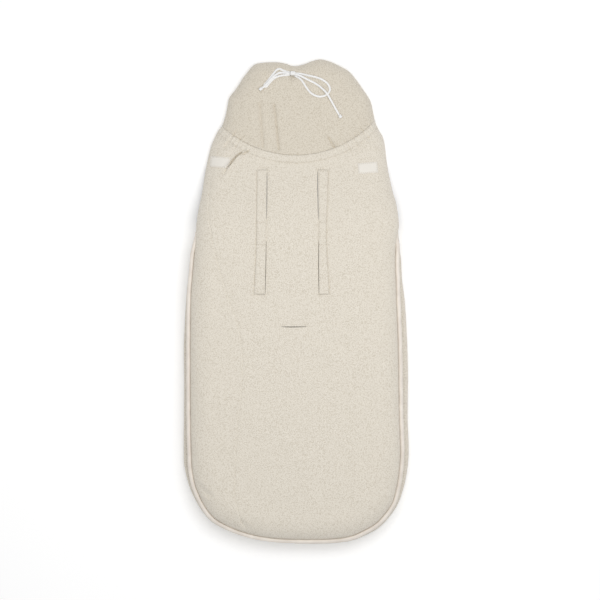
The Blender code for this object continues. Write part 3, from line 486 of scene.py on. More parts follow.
def cord_bed(places):
    """The pile gives way under the bow's cords, and stands up beside them."""
    depth = np.zeros(len(places))
    routes = [np.array(route)[:, :2] for route in CORD_ROUTES]
    near = rows_near(places, np.vstack(routes), 0.012)
    if len(near):
        lines = [smooth_path(route, 0.004) for route in routes]
        away = np.min([distance_to_line(places[near], line) for line in lines], axis=0)
        depth[near] = CORD_BED * np.exp(-(away / CORD_BED_WIDTH) ** 2)
    return depth


def neck_ruffles(places):
    """Small gathers on both sides of the elastic, towards its two ends."""
    away = beyond_neck(places)
    strength = smooth_share(np.abs(places[:, 0]), 0.045, 0.125)
    reach = np.where(away > BAND_WIDTH / 2, (away - BAND_WIDTH) / 0.020, away / 0.018)
    return gather_wave(neck_turn(places)) * strength * np.exp(-reach ** 2) * RUFFLE_HEIGHT


def hood_gathers(places, travel):
    """Gathers that run in from the hood's edge, where the drawstring pulls it up."""
    strength = smooth_share(places[:, 1], 0.385, 0.470)
    long, short = [np.sin(travel * 2 * math.pi / length) for length in GATHER_LENGTHS]
    return (long * 0.6 + short * 0.4) * strength * GATHER_HEIGHT


def top_height(places, depth=0.0):
    """The outer face of the back and the hood, or a face at some depth below it."""
    distance, travel = nearest_on_outline(places)
    rise = (BACK_TOP_Z - BACK_RIM_Z - depth) * dome(distance, depth)
    height = BACK_RIM_Z + rise - head_drop(places[:, 1])
    if depth:
        return height
    fade = smooth_share(distance, 0.001, 0.016)
    on_hood = beyond_neck(places) < 0
    detail = neck_ruffles(places)
    for swell in UNEVENNESS:
        detail += soft_unevenness(places, *swell)
    detail -= fold_depth(places, [(line, *WELT_GROOVE) for line in welt_outlines()])
    detail -= fold_depth(places, SIDE_SEAMS) + neck_crevice(places) + slot_lips(places)
    detail -= np.where(
        on_hood, fold_depth(places, HOOD_FOLDS + HOOD_CREASES),
        fold_depth(places, BACK_FOLDS + BACK_CREASES),
    )
    away = np.exp(-(distance / 0.030) ** 2)
    detail += np.where(on_hood, hood_gathers(places, travel) * away - cord_bed(places), 0)
    return height + detail * fade


def front_height(places, depth=0.0):
    distance, _ = nearest_on_outline(places)
    return FRONT_RIM_Z - (FRONT_RIM_Z - depth) * dome(distance, depth)


# Meshes


def linear(hex_colour):
    channels = [int(hex_colour[index:index + 2], 16) / 255 for index in (0, 2, 4)]
    return tuple(c / 12.92 if c <= 0.04045 else ((c + 0.055) / 1.055) ** 2.4 for c in channels)


def add_object(name, data):
    obj = bpy.data.objects.new(name, data)
    bpy.context.scene.collection.objects.link(obj)
    return obj


def new_piece(name, vertices, faces, materials, face_materials=None):
    mesh = bpy.data.meshes.new(name)
    mesh.from_pydata([tuple(map(float, v)) for v in vertices], [], faces)
    for material in materials:
        mesh.materials.append(material)
    if face_materials is not None:
        mesh.polygons.foreach_set("material_index", np.array(face_materials, np.int32))
    obj = add_object(name, mesh)
    tidy(obj)
    return obj


def tidy(obj):
    """Joins points that meet, turns all faces outward and keeps only the real edges sharp."""
    bm = bmesh.new()
    bm.from_mesh(obj.data)
    bmesh.ops.remove_doubles(bm, verts=bm.verts, dist=MERGE_DISTANCE)
    bmesh.ops.recalc_face_normals(bm, faces=bm.faces)
    for face in bm.faces:
        face.smooth = True
    for edge in bm.edges:
        if len(edge.link_faces) == 2:
            edge.smooth = edge.calc_face_angle(0) < SHARP_ANGLE
    bm.to_mesh(obj.data)
    bm.free()


def rectangle(size, step):
    """Points round a rectangle about the middle, anticlockwise, about one step apart."""
    x, y = size[0] / 2, size[1] / 2
    corners = np.array([(-x, -y), (x, -y), (x, y), (-x, y)])
    ring = []
    for start, end in zip(corners, np.roll(corners, -1, 0)):
        count = max(1, round(np.linalg.norm(end - start) / step))
        ring += [start + (end - start) * index / count for index in range(count)]
    return np.array(ring)


def left_of(path):
    """The unit direction to the left of a path, at each of its points."""
    along = np.gradient(path, axis=0)
    along /= np.linalg.norm(along, axis=1)[:, None]
    return np.column_stack([-along[:, 1], along[:, 0]])


def lens(path, width):
    """A closed ring round a path, widest in its middle."""
    share = np.linspace(0, 1, len(path))
    half = (0.35 + 0.65 * np.sin(share * math.pi) ** 0.7) * width / 2
    side = left_of(path) * half[:, None]
    return np.vstack([path + side, (path - side)[::-1]])


def slot_rings():
    rings = []
    for line in (LEFT_SLIT, RIGHT_SLIT):
        for (low, high), opening in zip((UPPER_SLOT_Y, LOWER_SLOT_Y), SLOT_OPENINGS):
            y = np.linspace(high, low, round((high - low) / SEAM_STEP))
            rings.append(lens(np.column_stack([across_at(line, y), y]), opening))
    rings.append(lens(seam_path(CROTCH_SLIT), CROTCH_OPENING))
    return rings


def inside_ring(places, ring):
    """Whether each point lies in a ring, for the few points near it."""
    inside = np.zeros(len(places), bool)
    near = rows_near(places, ring, 0)
    inside[near] = inside_loop(places[near], ring)
    return inside


def neck_line(offset):
    """The neck seam's arc from edge to edge, moved towards the foot by offset."""
    turns = np.linspace(-NECK_HALF_TURN, NECK_HALF_TURN, 181)
    radius = NECK_RADIUS + offset
    line = np.column_stack([np.sin(turns) * radius, NECK_CENTRE_Y - np.cos(turns) * radius])
    return line[inside_outline(line)]


def beside(line, away):
    """A row of points beside a line, at a signed distance from it."""
    return line + left_of(line) * away


def clear_of(points, lines, least):
    clear = np.ones(len(points), bool)
    for line in lines:
        near = rows_near(points, line, least)
        clear[near] &= distance_to_line(points[near], line) > least
    return points[clear]


def plan_mesh(keep, lines, holes, inner_depth):
    """A triangulated plan: rows along the rim, rows beside each seam, and an even grid."""
    normals = ring_normals(OUTLINE)
    chains = [(OUTLINE, True)] + [(hole, True) for hole in holes] + [(l, False) for l in lines]
    edges, total = [], 0
    for chain, closed in chains:
        last = len(chain) if closed else len(chain) - 1
        edges += [(total + i, total + (i + 1) % len(chain)) for i in range(last)]
        total += len(chain)
    fixed = np.vstack([chain for chain, _ in chains])
    cuts = [np.vstack([hole, hole[:1]]) for hole in holes] + list(lines)
    rim = []
    for inset in (*RIM_INSETS, inner_depth - GAP, inner_depth):
        ring = OUTLINE + normals * inset
        distance, _ = nearest_on_outline(ring)
        rim.append(ring[distance > inset * 0.93])
    rows = [beside(line, away * side) for line in lines for away in SEAM_ROWS for side in (-1, 1)]
    rows = clear_of(np.vstack(rows), cuts, ROW_CLEARANCE)
    low, high = OUTLINE.min(0), OUTLINE.max(0)
    grid = np.array([
        (x + PLAN_SPACING / 2 * (index % 2), y)
        for index, y in enumerate(np.arange(low[1], high[1], PLAN_SPACING * TRIANGLE_HEIGHT))
        for x in np.arange(low[0], high[0], PLAN_SPACING)
    ])
    grid = grid[inside_outline(grid)]
    distance, _ = nearest_on_outline(grid)
    grid = grid[distance > inner_depth + PLAN_SPACING * 0.5]
    grid = clear_of(grid, cuts, SEAM_ROWS[1] + PLAN_SPACING * 0.35)
    rim = clear_of(np.vstack(rim), cuts, ROW_CLEARANCE)
    rows = rows[inside_outline(rows)]
    coords = [Vector(p) for p in np.vstack([fixed, rim, rows, grid])]
    vertices, _, faces, *_ = delaunay_2d_cdt(coords, edges, [], 0, 1e-7)
    vertices = np.array([tuple(v) for v in vertices])
    faces = np.array(faces)
    centres = vertices[faces].mean(1)
    wanted = inside_outline(centres) & keep(centres)
    for hole in holes:
        wanted &= ~inside_ring(centres, hole)
    faces = faces[wanted]
    used = np.unique(faces)
    renumber = np.zeros(len(vertices), int)
    renumber[used] = np.arange(len(used))
    return vertices[used], renumber[faces]


def shell(name, plan, height, inner_depth, outer_material):
    """A closed padded shell: the plan lifted to its outer face and to its lined inner face."""
    places, faces = plan
    count = len(places)
    vertices = np.vstack([
        np.column_stack([places, height(places)]),
        np.column_stack([places, height(places, inner_depth)]),
    ])
    distance, _ = nearest_on_outline(places[faces].mean(1))
    edges = dict.fromkeys(edge for a, b, c in faces for edge in ((a, b), (b, c), (c, a)))
    walls = [(b, a, a + count, b + count) for a, b in edges if (b, a) not in edges]
    all_faces = [tuple(map(int, f)) for f in faces]
    all_faces += [tuple(int(i) + count for i in reversed(f)) for f in faces]
    all_faces += [tuple(map(int, f)) for f in walls]
    slots = [0] * len(faces) + [int(d > inner_depth) for d in distance] + [0] * len(walls)
    return new_piece(name, vertices, all_faces, [outer_material, material("lining")], slots)


def laid_pad(name, to_plan, columns, rows, thickness, cloth, press=None):
    """A flat closed pad laid on the back: u and v run from -1 to 1 across and along it."""
    across = np.sin(np.linspace(-1, 1, columns) * math.pi / 2)
    u, v = [grid.ravel() for grid in np.meshgrid(across, np.linspace(-1, 1, rows))]
    places = to_plan(u, v)
    base = top_height(places) + GAP
    round_u = np.maximum(1 - np.abs(u) ** 4, 0) ** 0.35
    end = np.minimum((1 - np.abs(v)) * rows / 4, 1)
    lift = thickness * round_u * np.sqrt(np.maximum(1 - (1 - end) ** 2, 0))
    if press is not None:
        lift = np.maximum(lift - press(u, v), 0)
    top = np.column_stack([places, base + lift])
    bottom = np.column_stack([places, base - PAD_SKIN])
    count = columns * rows
    faces = []
    for row in range(rows - 1):
        for column in range(columns - 1):
            a = row * columns + column
            b, c, d = a + 1, a + columns + 1, a + columns
            faces.append((a, b, c, d))
            faces.append((d + count, c + count, b + count, a + count))
    rim = list(range(columns))
    rim += [row * columns + columns - 1 for row in range(1, rows)]
    rim += [(rows - 1) * columns + i for i in range(columns - 2, -1, -1)]
    rim += [row * columns for row in range(rows - 2, 0, -1)]
    for a, b in zip(rim, rim[1:] + rim[:1]):
        faces.append((b, a, a + count, b + count))
    return new_piece(name, np.vstack([top, bottom]), faces, [cloth])


def join_rings(rings, closed=False):
    """The points of all rings, and the faces that join each ring to the next."""
    count = len(rings[0])
    faces = []
    for step in range(len(rings) if closed else len(rings) - 1):
        low, high = step * count, (step + 1) % len(rings) * count
        for index in range(count):
            after = (index + 1) % count
            faces.append((low + index, low + after, high + after, high + index))
    return [tuple(p) for ring in rings for p in ring], faces


def strip(name, rings, material):
    """A closed strip whose section is one ring per station along its way."""
    vertices, faces = join_rings(rings)
    count = len(rings[0])
    faces.append(tuple(range(count - 1, -1, -1)))
    faces.append(tuple(range(len(vertices) - count, len(vertices))))
    return new_piece(name, vertices, faces, [material])


def tube(name, path, diameter, sides, material, squash=1.0):
    """A round tube along a path, with closed ends and lengthwise UVs."""
    path = np.array(path, float)
    along = np.gradient(path, axis=0)
    along /= np.linalg.norm(along, axis=1)[:, None]
    turns = [index / sides * 2 * math.pi for index in range(sides)]
    up = Vector((0, 0, 1))
    rings = []
    for place, direction in zip(path, map(Vector, along)):
        side = direction.cross(up).normalized()
        top = side.cross(direction).normalized()
        offsets = [side * math.cos(turn) + top * math.sin(turn) * squash for turn in turns]
        rings.append([Vector(place) + offset * diameter / 2 for offset in offsets])
    obj = strip(name, rings, material)
    steps = np.linalg.norm(np.diff(path, axis=0), axis=1)
    travel = np.concatenate([[0], np.cumsum(steps)])
    layer = obj.data.uv_layers.new(name="UVMap")
    for polygon in obj.data.polygons:
        around = [v % sides for v in polygon.vertices]
        wraps = len(polygon.vertices) == 4 and max(around) - min(around) > sides / 2
        for loop_index, vertex in zip(polygon.loop_indices, polygon.vertices):
            share = vertex % sides / sides
            if wraps and share < 0.5:
                share += 1
            layer.data[loop_index].uv = (share, travel[vertex // sides] / (math.pi * diameter))
    return obj


def rounded_section(width, height, corner, corner_steps=3):
    """A rounded rectangle round the middle, as pairs of numbers, anticlockwise."""
    points = []
    for quarter, (sx, sy) in enumerate(((1, 1), (-1, 1), (-1, -1), (1, -1))):
        for step in range(corner_steps + 1):
            turn = (quarter + step / corner_steps) * math.pi / 2
            points.append((
                sx * (width / 2 - corner) + math.cos(turn) * corner,
                sy * (height / 2 - corner) + math.sin(turn) * corner,
            ))
    return points


def outline_strip(name, wanted, inset, width, low_z, drop, material):
    """A strip that follows the part of the outline for which wanted is true."""
    normals = ring_normals(OUTLINE)
    flags = wanted(OUTLINE)
    order = np.flatnonzero(flags & ~np.roll(flags, 1))[0] + np.arange(len(flags))
    order = order[:np.argmin(flags[order % len(flags)])] % len(flags)
    high_z = BACK_RIM_Z - GAP
    section = rounded_section(width, high_z - low_z, STRIP_CORNER)
    rings = []
    for index in order:
        middle = OUTLINE[index] + normals[index] * (inset + width / 2)
        lowered = head_drop(OUTLINE[index][1]) if drop else 0
        rings.append([
            (*(middle + normals[index] * across), (low_z + high_z) / 2 + up - lowered)
            for across, up in section
        ])
    return strip(name, rings, material)


def fit_piece(obj, body, slot, *nodes):
    """Says which body carries a piece and which solids it takes the place of; its slot is not
    used.
    """
    # Cloth across the neck keeps its place and is put on no body
    if body == "neck":
        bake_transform(obj)
    else:
        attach(obj, body)
    if nodes:
        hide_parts(*nodes)


# Node trees, stitches and teeth


def add_node(tree, kind, links=None, inputs=None, **settings):
    """A node with its settings, its input values, and its inputs linked from (node, output)."""
    node = tree.nodes.new(kind)
    for name, value in settings.items():
        setattr(node, name, value)
    for socket, value in (inputs or {}).items():
        node.inputs[socket].default_value = value
    for socket, (source, output) in (links or {}).items():
        tree.links.new(source.outputs[output], node.inputs[socket])
    return node


def row_of_nodes(name, material):
    """Repeats one small thread or tooth along a curve, turned along it."""
    tree = bpy.data.node_groups.new(name, "GeometryNodeTree")
    for socket, way, kind in (
        ("Path", "INPUT", "Geometry"), ("Pitch", "INPUT", "Float"),
        ("Size", "INPUT", "Vector"), ("Row", "OUTPUT", "Geometry"),
    ):
        tree.interface.new_socket(socket, in_out=way, socket_type=f"NodeSocket{kind}")
    source = add_node(tree, "NodeGroupInput")
    points = add_node(
        tree, "GeometryNodeCurveToPoints",
        {"Curve": (source, "Path"), "Length": (source, "Pitch")}, mode="LENGTH",
    )
    bead = add_node(
        tree, "GeometryNodeMeshUVSphere", inputs={"Segments": 6, "Rings": 5, "Radius": 0.5},
    )
    scaled = add_node(
        tree, "GeometryNodeTransform", {"Geometry": (bead, "Mesh"), "Scale": (source, "Size")},
    )
    placed = add_node(tree, "GeometryNodeInstanceOnPoints", {
        "Points": (points, "Points"), "Rotation": (points, "Rotation"),
        "Instance": (scaled, "Geometry"),
    })
    real = add_node(tree, "GeometryNodeRealizeInstances", {"Geometry": (placed, "Instances")})
    smooth = add_node(tree, "GeometryNodeSetShadeSmooth", {"Geometry": (real, "Geometry")})
    finish = add_node(
        tree, "GeometryNodeSetMaterial", {"Geometry": (smooth, "Geometry")},
        {"Material": material},
    )
    add_node(tree, "NodeGroupOutput", {"Row": (finish, "Geometry")})
    return tree


def repeat_along(name, paths, group, pitch, size, material):
    """Runs the row's tree along the given paths and keeps the result as a plain mesh."""
    curve = bpy.data.curves.new(name, "CURVE")
    curve.dimensions = "3D"
    for path in paths:
        spline = curve.splines.new("POLY")
        spline.points.add(len(path) - 1)
        for point, place in zip(spline.points, path):
            point.co = (*place, 1)
    source = add_object(f"{name}_path", curve)
    modifier = source.modifiers.new("row", "NODES")
    modifier.node_group = group
    values = {"Pitch": pitch, "Size": size}
    for socket in group.interface.items_tree:
        if socket.name in values:
            modifier[socket.identifier] = values[socket.name]
    graph = bpy.context.evaluated_depsgraph_get()
    mesh = bpy.data.meshes.new_from_object(source.evaluated_get(graph))
    mesh.name = name
    if not mesh.materials:
        mesh.materials.append(material)
    obj = add_object(name, mesh)
    bpy.data.objects.remove(source)
    return obj


def on_patch(places, patch):
    """Moves points from a patch's own middle to where it is sewn on, turned by its tilt."""
    x, y, tilt = patch
    turn = math.radians(tilt)
    spin = np.array([[math.cos(turn), math.sin(turn)], [-math.sin(turn), math.cos(turn)]])
    return places @ spin + (x, y)


def on_top(places, lift):
    places = np.array(places, float)
    return np.column_stack([places, top_height(places) + lift])


# Materials: the real size of each pattern in millimetres

# Teddy pile curls into bobbles of about 2 mm; its fibres are finer than a pixel, so drawn coarser
CURL_SIZE = 2.1
CURL_DRIFT = 6.2
FIBRE_SIZE = 0.7
# The nap of brushed cotton is too fine to show, so it is drawn 1.1 mm wide
NAP_SIZE = 1.1
WASH_SIZE = 28.0
# Woven tape has a thread every 0.45 mm and the patch every 0.63 mm
TAPE_THREAD = 0.45
PATCH_THREAD = 0.63
# Bias tape wrinkles every 4 mm where it turns a bend
WRINKLE_SIZE = 3.8
SATIN_TONE = 25.0
# A braid of 16 yarns, 8 each way
BRAID_YARNS = 8
# Scuffs on plated metal and the grain of moulded nylon
SCUFF_SIZE = 1.4
GRAIN_SIZE = 0.8
# Two plies of sewing thread wind round each other every 0.9 mm
PLY_LENGTH = 0.9


def per_metre(millimetres):
    return 1000 / millimetres


def wave_scale(millimetres):
    """Blender's wave texture repeats twenty radians for each unit of its scale."""
    return 2 * math.pi / 20 * per_metre(millimetres)


def new_material(name, roughness, **sockets):
    material = bpy.data.materials.new(name)
    material.use_nodes = True
    shader = material.node_tree.nodes["Principled BSDF"]
    shader.inputs["Roughness"].default_value = roughness
    for socket, value in sockets.items():
        shader.inputs[socket.replace("_", " ")].default_value = value
    return material, material.node_tree


def finish_material(material, colour, shade, pattern, span, reliefs):
    """Shades the colour where the pattern is low, and raises the surface by each relief."""
    tree = material.node_tree
    share = add_node(
        tree, "ShaderNodeMapRange", {"Value": pattern}, {"From Min": span[0], "From Max": span[1]},
    )
    dark = [c * s for c, s in zip(colour, shade)]
    mix = add_node(
        tree, "ShaderNodeMix", {0: (share, "Result")}, {6: (*dark, 1), 7: (*colour, 1)},
        data_type="RGBA",
    )
    links = {}
    for height, strength, depth in reliefs:
        surface = add_node(
            tree, "ShaderNodeBump", {"Height": height, **links},
            {"Strength": strength, "Distance": depth},
        )
        links = {"Normal": (surface, "Normal")}
    shader = tree.nodes["Principled BSDF"]
    tree.links.new(mix.outputs[2], shader.inputs["Base Color"])
    tree.links.new(surface.outputs["Normal"], shader.inputs["Normal"])
    return material


def teddy_fleece(name, colour):
    """Knitted polyester with a curly pile: matt, with small bobbles and painted shade between
    them.
    """
    material, tree = new_material(name, 0.95, Sheen_Weight=0.25, Sheen_Roughness=0.6)
    where = add_node(tree, "ShaderNodeTexCoord")
    place = {"Vector": (where, "Object")}
    drift = add_node(tree, "ShaderNodeTexNoise", place, {"Scale": per_metre(CURL_DRIFT)})
    shifted = add_node(
        tree, "ShaderNodeMix", {4: (where, "Object"), 5: (drift, "Color")}, {0: 0.0025},
        data_type="VECTOR",
    )
    bobbles = add_node(
        tree, "ShaderNodeTexVoronoi", {"Vector": (shifted, 1)},
        {"Scale": per_metre(CURL_SIZE), "Smoothness": 0.35}, feature="SMOOTH_F1",
    )
    fibres = add_node(tree, "ShaderNodeTexNoise", place, {"Scale": per_metre(FIBRE_SIZE)})
    reliefs = [((fibres, "Fac"), 0.30, 0.0005), ((bobbles, "Distance"), 0.6, -0.0010)]
    # Painted shade: the colour darkens between the bobbles, in the pile's hollows
    shade = (0.79, 0.77, 0.735)
    return finish_material(material, colour, shade, (bobbles, "Distance"), (0.80, 0.30), reliefs)


def brushed_cotton(name, colour):
    """Woven cotton with a brushed nap: matt and soft, with a faint cloudiness from washing."""
    material, tree = new_material(name, 0.85, Sheen_Weight=0.15, Sheen_Roughness=0.5)
    where = add_node(tree, "ShaderNodeTexCoord")
    place = {"Vector": (where, "Object")}
    nap = add_node(tree, "ShaderNodeTexNoise", place, {"Scale": per_metre(NAP_SIZE)})
    wash = add_node(tree, "ShaderNodeTexNoise", place, {"Scale": per_metre(WASH_SIZE)})
    reliefs = [((nap, "Fac"), 0.4, 0.0004)]
    shade = (0.95, 0.945, 0.94)
    return finish_material(material, colour, shade, (wash, "Fac"), (0.3, 0.7), reliefs)


def woven_polyester(name, colour, thread, shade):
    """Plain weave: two crossed sets of threads, with painted shade in the gaps between them."""
    material, tree = new_material(name, 0.75, Sheen_Weight=0.1)
    where = add_node(tree, "ShaderNodeTexCoord")
    weft, warp = [
        add_node(
            tree, "ShaderNodeTexWave", {"Vector": (where, "Object")},
            {"Scale": wave_scale(thread)}, bands_direction=direction,
        )
        for direction in "YX"
    ]
    weave = add_node(
        tree, "ShaderNodeMath", {0: (weft, "Fac"), 1: (warp, "Fac")}, operation="MULTIPLY",
    )
    reliefs = [((weave, "Value"), 0.5, 0.0003)]
    return finish_material(material, colour, shade, (weave, "Value"), (0.0, 0.8), reliefs)


def satin_bias_tape(name, colour):
    """Polyester satin cut on the bias: a soft shine, with small wrinkles across it."""
    material, tree = new_material(name, 0.42, Sheen_Weight=0.3, Sheen_Roughness=0.35)
    where = add_node(tree, "ShaderNodeTexCoord")
    place = {"Vector": (where, "Object")}
    wrinkle = add_node(
        tree, "ShaderNodeTexNoise", place, {"Scale": per_metre(WRINKLE_SIZE), "Detail": 3.0},
    )
    tone = add_node(tree, "ShaderNodeTexNoise", place, {"Scale": per_metre(SATIN_TONE)})
    reliefs = [((wrinkle, "Fac"), 0.35, 0.0008)]
    shade = (0.875, 0.86, 0.85)
    return finish_material(material, colour, shade, (tone, "Fac"), (0.3, 0.7), reliefs)


def braided_polyester(name, colour):
    """Two sets of white yarns that wind round the cord in opposite directions, with painted shade
    between them.
    """
    material, tree = new_material(name, 0.55)
    where = add_node(tree, "ShaderNodeTexCoord")
    split = add_node(tree, "ShaderNodeSeparateXYZ", {"Vector": (where, "UV")})
    waves = []
    for operation in ("ADD", "SUBTRACT"):
        total = add_node(
            tree, "ShaderNodeMath", {0: (split, "X"), 1: (split, "Y")}, operation=operation,
        )
        turns = add_node(
            tree, "ShaderNodeMath", {0: (total, "Value")}, {1: BRAID_YARNS * 2 * math.pi},
            operation="MULTIPLY",
        )
        waves.append(
            add_node(tree, "ShaderNodeMath", {0: (turns, "Value")}, operation="SINE")
        )
    yarn = add_node(
        tree, "ShaderNodeMath", {0: (waves[0], "Value"), 1: (waves[1], "Value")},
        operation="MAXIMUM",
    )
    reliefs = [((yarn, "Value"), 0.4, 0.0003)]
    shade = (0.90, 0.885, 0.86)
    return finish_material(material, colour, shade, (yarn, "Value"), (-0.6, 0.8), reliefs)


def twisted_thread(name, colour):
    """Polyester sewing thread of two plies: slightly shiny, with a slanting twist and painted
    shade in its grooves.
    """
    material, tree = new_material(name, 0.6, Sheen_Weight=0.1)
    where = add_node(tree, "ShaderNodeTexCoord")
    twist = add_node(
        tree, "ShaderNodeTexWave", {"Vector": (where, "Object")},
        {"Scale": wave_scale(PLY_LENGTH)}, bands_direction="DIAGONAL",
    )
    reliefs = [((twist, "Fac"), 0.3, 0.0001)]
    shade = (0.86, 0.85, 0.84)
    return finish_material(material, colour, shade, (twist, "Fac"), (0.0, 1.0), reliefs)


def nickel_plate(name, colour):
    """Die-cast zinc plated with nickel: a polished metal with small scuffs."""
    material, tree = new_material(name, 0.28, Metallic=1.0)
    where = add_node(tree, "ShaderNodeTexCoord")
    scuffs = add_node(
        tree, "ShaderNodeTexNoise", {"Vector": (where, "Object")},
        {"Scale": per_metre(SCUFF_SIZE)},
    )
    reliefs = [((scuffs, "Fac"), 0.08, 0.0002)]
    shade = (0.70, 0.69, 0.68)
    return finish_material(material, colour, shade, (scuffs, "Fac"), (0.35, 0.65), reliefs)


def moulded_nylon(name, colour):
    """Wound nylon wire: smooth and half matt, with a fine grain."""
    material, tree = new_material(name, 0.4)
    where = add_node(tree, "ShaderNodeTexCoord")
    grain = add_node(
        tree, "ShaderNodeTexNoise", {"Vector": (where, "Object")},
        {"Scale": per_metre(GRAIN_SIZE)},
    )
    reliefs = [((grain, "Fac"), 0.1, 0.0002)]
    shade = (0.93, 0.925, 0.92)
    return finish_material(material, colour, shade, (grain, "Fac"), (0.3, 0.7), reliefs)


LIBRARY = {}


def material(name):
    return LIBRARY[name]


# Colours and sizes that a user would change


def colour_property(name, description, hex_colour):
    return bpy.props.FloatVectorProperty(
        name=name, description=description, subtype="COLOR", size=3, min=0, max=1,
        default=linear(hex_colour),
    )


def length_property(name, description, default):
    return bpy.props.FloatProperty(
        name=name, description=description, default=default, min=0, unit="LENGTH",
    )


class FootmuffSettings(bpy.types.PropertyGroup):
    fleece_colour: colour_property("Fleece", "Colour of the back and the front cover", "EDE6D9")
    # Painted shade: the hood is the same fleece as the back, drawn in a darker colour for the
    # shade it lies in
    hood_painted_shade_colour: colour_property("Hood", "Colour of the hood's fleece", "E5DDCE")
    lining_colour: colour_property("Lining", "Colour of the cotton lining", "E4DED3")
    piping_colour: colour_property("Piping", "Colour of the satin edge piping", "F2EAE0")
    patch_colour: colour_property("Patches", "Colour of the shoulder patches", "FAF6EE")
    tape_colour: colour_property("Tapes", "Colour of the zip tapes and bindings", "D9D1C4")
    thread_colour: colour_property("Thread", "Colour of the stitches", "DBD2C4")
    cord_colour: colour_property("Drawstring", "Colour of the drawstring", "FFFFFF")
    coil_colour: colour_property("Zip coils", "Colour of the zip coils", "D6CDBF")
    metal_colour: colour_property("Metal", "Colour of sliders, pulls and stops", "D2CEC7")
    piping_width: length_property("Piping width", "Width of the edge piping", 0.0084)
    piping_wave: length_property("Piping wave", "How far the piping wanders", 0.0002)
    welt_thickness: length_property("Welt thickness", "Thickness of the slot welts", 0.0022)
    band_thickness: length_property("Band thickness", "How far the neck band stands up", 0.0015)
    patch_thickness: length_property("Patch thickness", "Thickness of the patches", 0.0020)
    stitch_pitch: length_property("Stitch pitch", "From one stitch to the next", 0.0040)
    stitch_thickness: length_property("Thread thickness", "Thickness of the thread", 0.0007)


class StageSettings(bpy.types.PropertyGroup):
    floor_colour: colour_property("Floor", "Colour of the floor", "FBFBFB")
    floor_lift: bpy.props.FloatProperty(
        name="Floor white", description="White that the camera sees on top of the lit floor",
        default=0.19, min=0, max=1,
    )
    key_power: bpy.props.FloatProperty(
        name="Key light", description="Power of the large light above",
        default=10.1, min=0, unit="POWER",
    )
    sky_strength: bpy.props.FloatProperty(
        name="Sky", description="Strength of the even light from all round",
        default=0.63, min=0,
    )


# Operators


class FOOTMUFF_OT_materials(bpy.types.Operator):
    """Makes the fabrics, tapes, cord and metal"""

    bl_idname = "footmuff.materials"
    bl_label = "Materials"

    def execute(self, context):
        chosen = context.scene.footmuff
        tape_shade, patch_shade = (0.73, 0.71, 0.67), (0.89, 0.88, 0.865)
        LIBRARY["fleece"] = teddy_fleece("teddy_fleece", chosen.fleece_colour)
        # The hood gets the fleece in a darker colour: painted shade, not a different cloth
        LIBRARY["hood_fleece_painted_shade"] = teddy_fleece("hood_fleece_painted_shade", chosen.hood_painted_shade_colour)
        LIBRARY["lining"] = brushed_cotton("brushed_cotton", chosen.lining_colour)
        LIBRARY["piping"] = satin_bias_tape("satin_bias_tape", chosen.piping_colour)
        LIBRARY["tape"] = woven_polyester(
            "woven_tape", chosen.tape_colour, TAPE_THREAD, tape_shade,
        )
        LIBRARY["patch"] = woven_polyester(
            "woven_patch", chosen.patch_colour, PATCH_THREAD, patch_shade,
        )
        LIBRARY["cord"] = braided_polyester("braided_polyester", chosen.cord_colour)
        LIBRARY["thread"] = twisted_thread("twisted_thread", chosen.thread_colour)
        LIBRARY["metal"] = nickel_plate("nickel_plate", chosen.metal_colour)
        LIBRARY["coil"] = moulded_nylon("moulded_nylon", chosen.coil_colour)
        return {"FINISHED"}


class FOOTMUFF_OT_back(bpy.types.Operator):
    """Builds the padded back with its slots"""

    bl_idname = "footmuff.back"
    bl_label = "Back"

    def execute(self, context):
        plan = plan_mesh(
            lambda p: beyond_neck(p) > 0,
            [neck_line(0), neck_line(BAND_WIDTH), *welt_outlines()]
            + [seam_path(points) for points, _, _ in SIDE_SEAMS + BACK_CREASES],
            slot_rings(), INNER_DEPTH,
        )
        back = shell("back_pad", plan, top_height, INNER_DEPTH, material("fleece"))
        fit_piece(back, "neck", "fleece", "back_outer_fabric", "back_wadding", "back_lining")
        return {"FINISHED"}


class FOOTMUFF_OT_hood(bpy.types.Operator):
    """Builds the gathered hood with its hem"""

    bl_idname = "footmuff.hood"
    bl_label = "Hood"

    def execute(self, context):
        plan = plan_mesh(
            lambda p: beyond_neck(p) < -GAP,
            [neck_line(-GAP)] + [seam_path(points) for points, _, _ in HOOD_CREASES]
            + [seam_path(np.array(route)[:, :2]) for route in CORD_ROUTES],
            [], HOOD_INNER_DEPTH,
        )
        hood = shell("hood_shell", plan, top_height, HOOD_INNER_DEPTH, material("hood_fleece_painted_shade"))
        fit_piece(hood, "neck", "fleece", "hood_outer_fabric", "hood_lining")
        hem = outline_strip(
            "hood_hem", lambda p: beyond_neck(p) < -GAP, STRIP_INSET, HEM_WIDTH, HEAD_DROP,
            True, material("hood_fleece_painted_shade"),
        )
        fit_piece(hem, "neck", "tape", "hood_hem_tape")
        return {"FINISHED"}


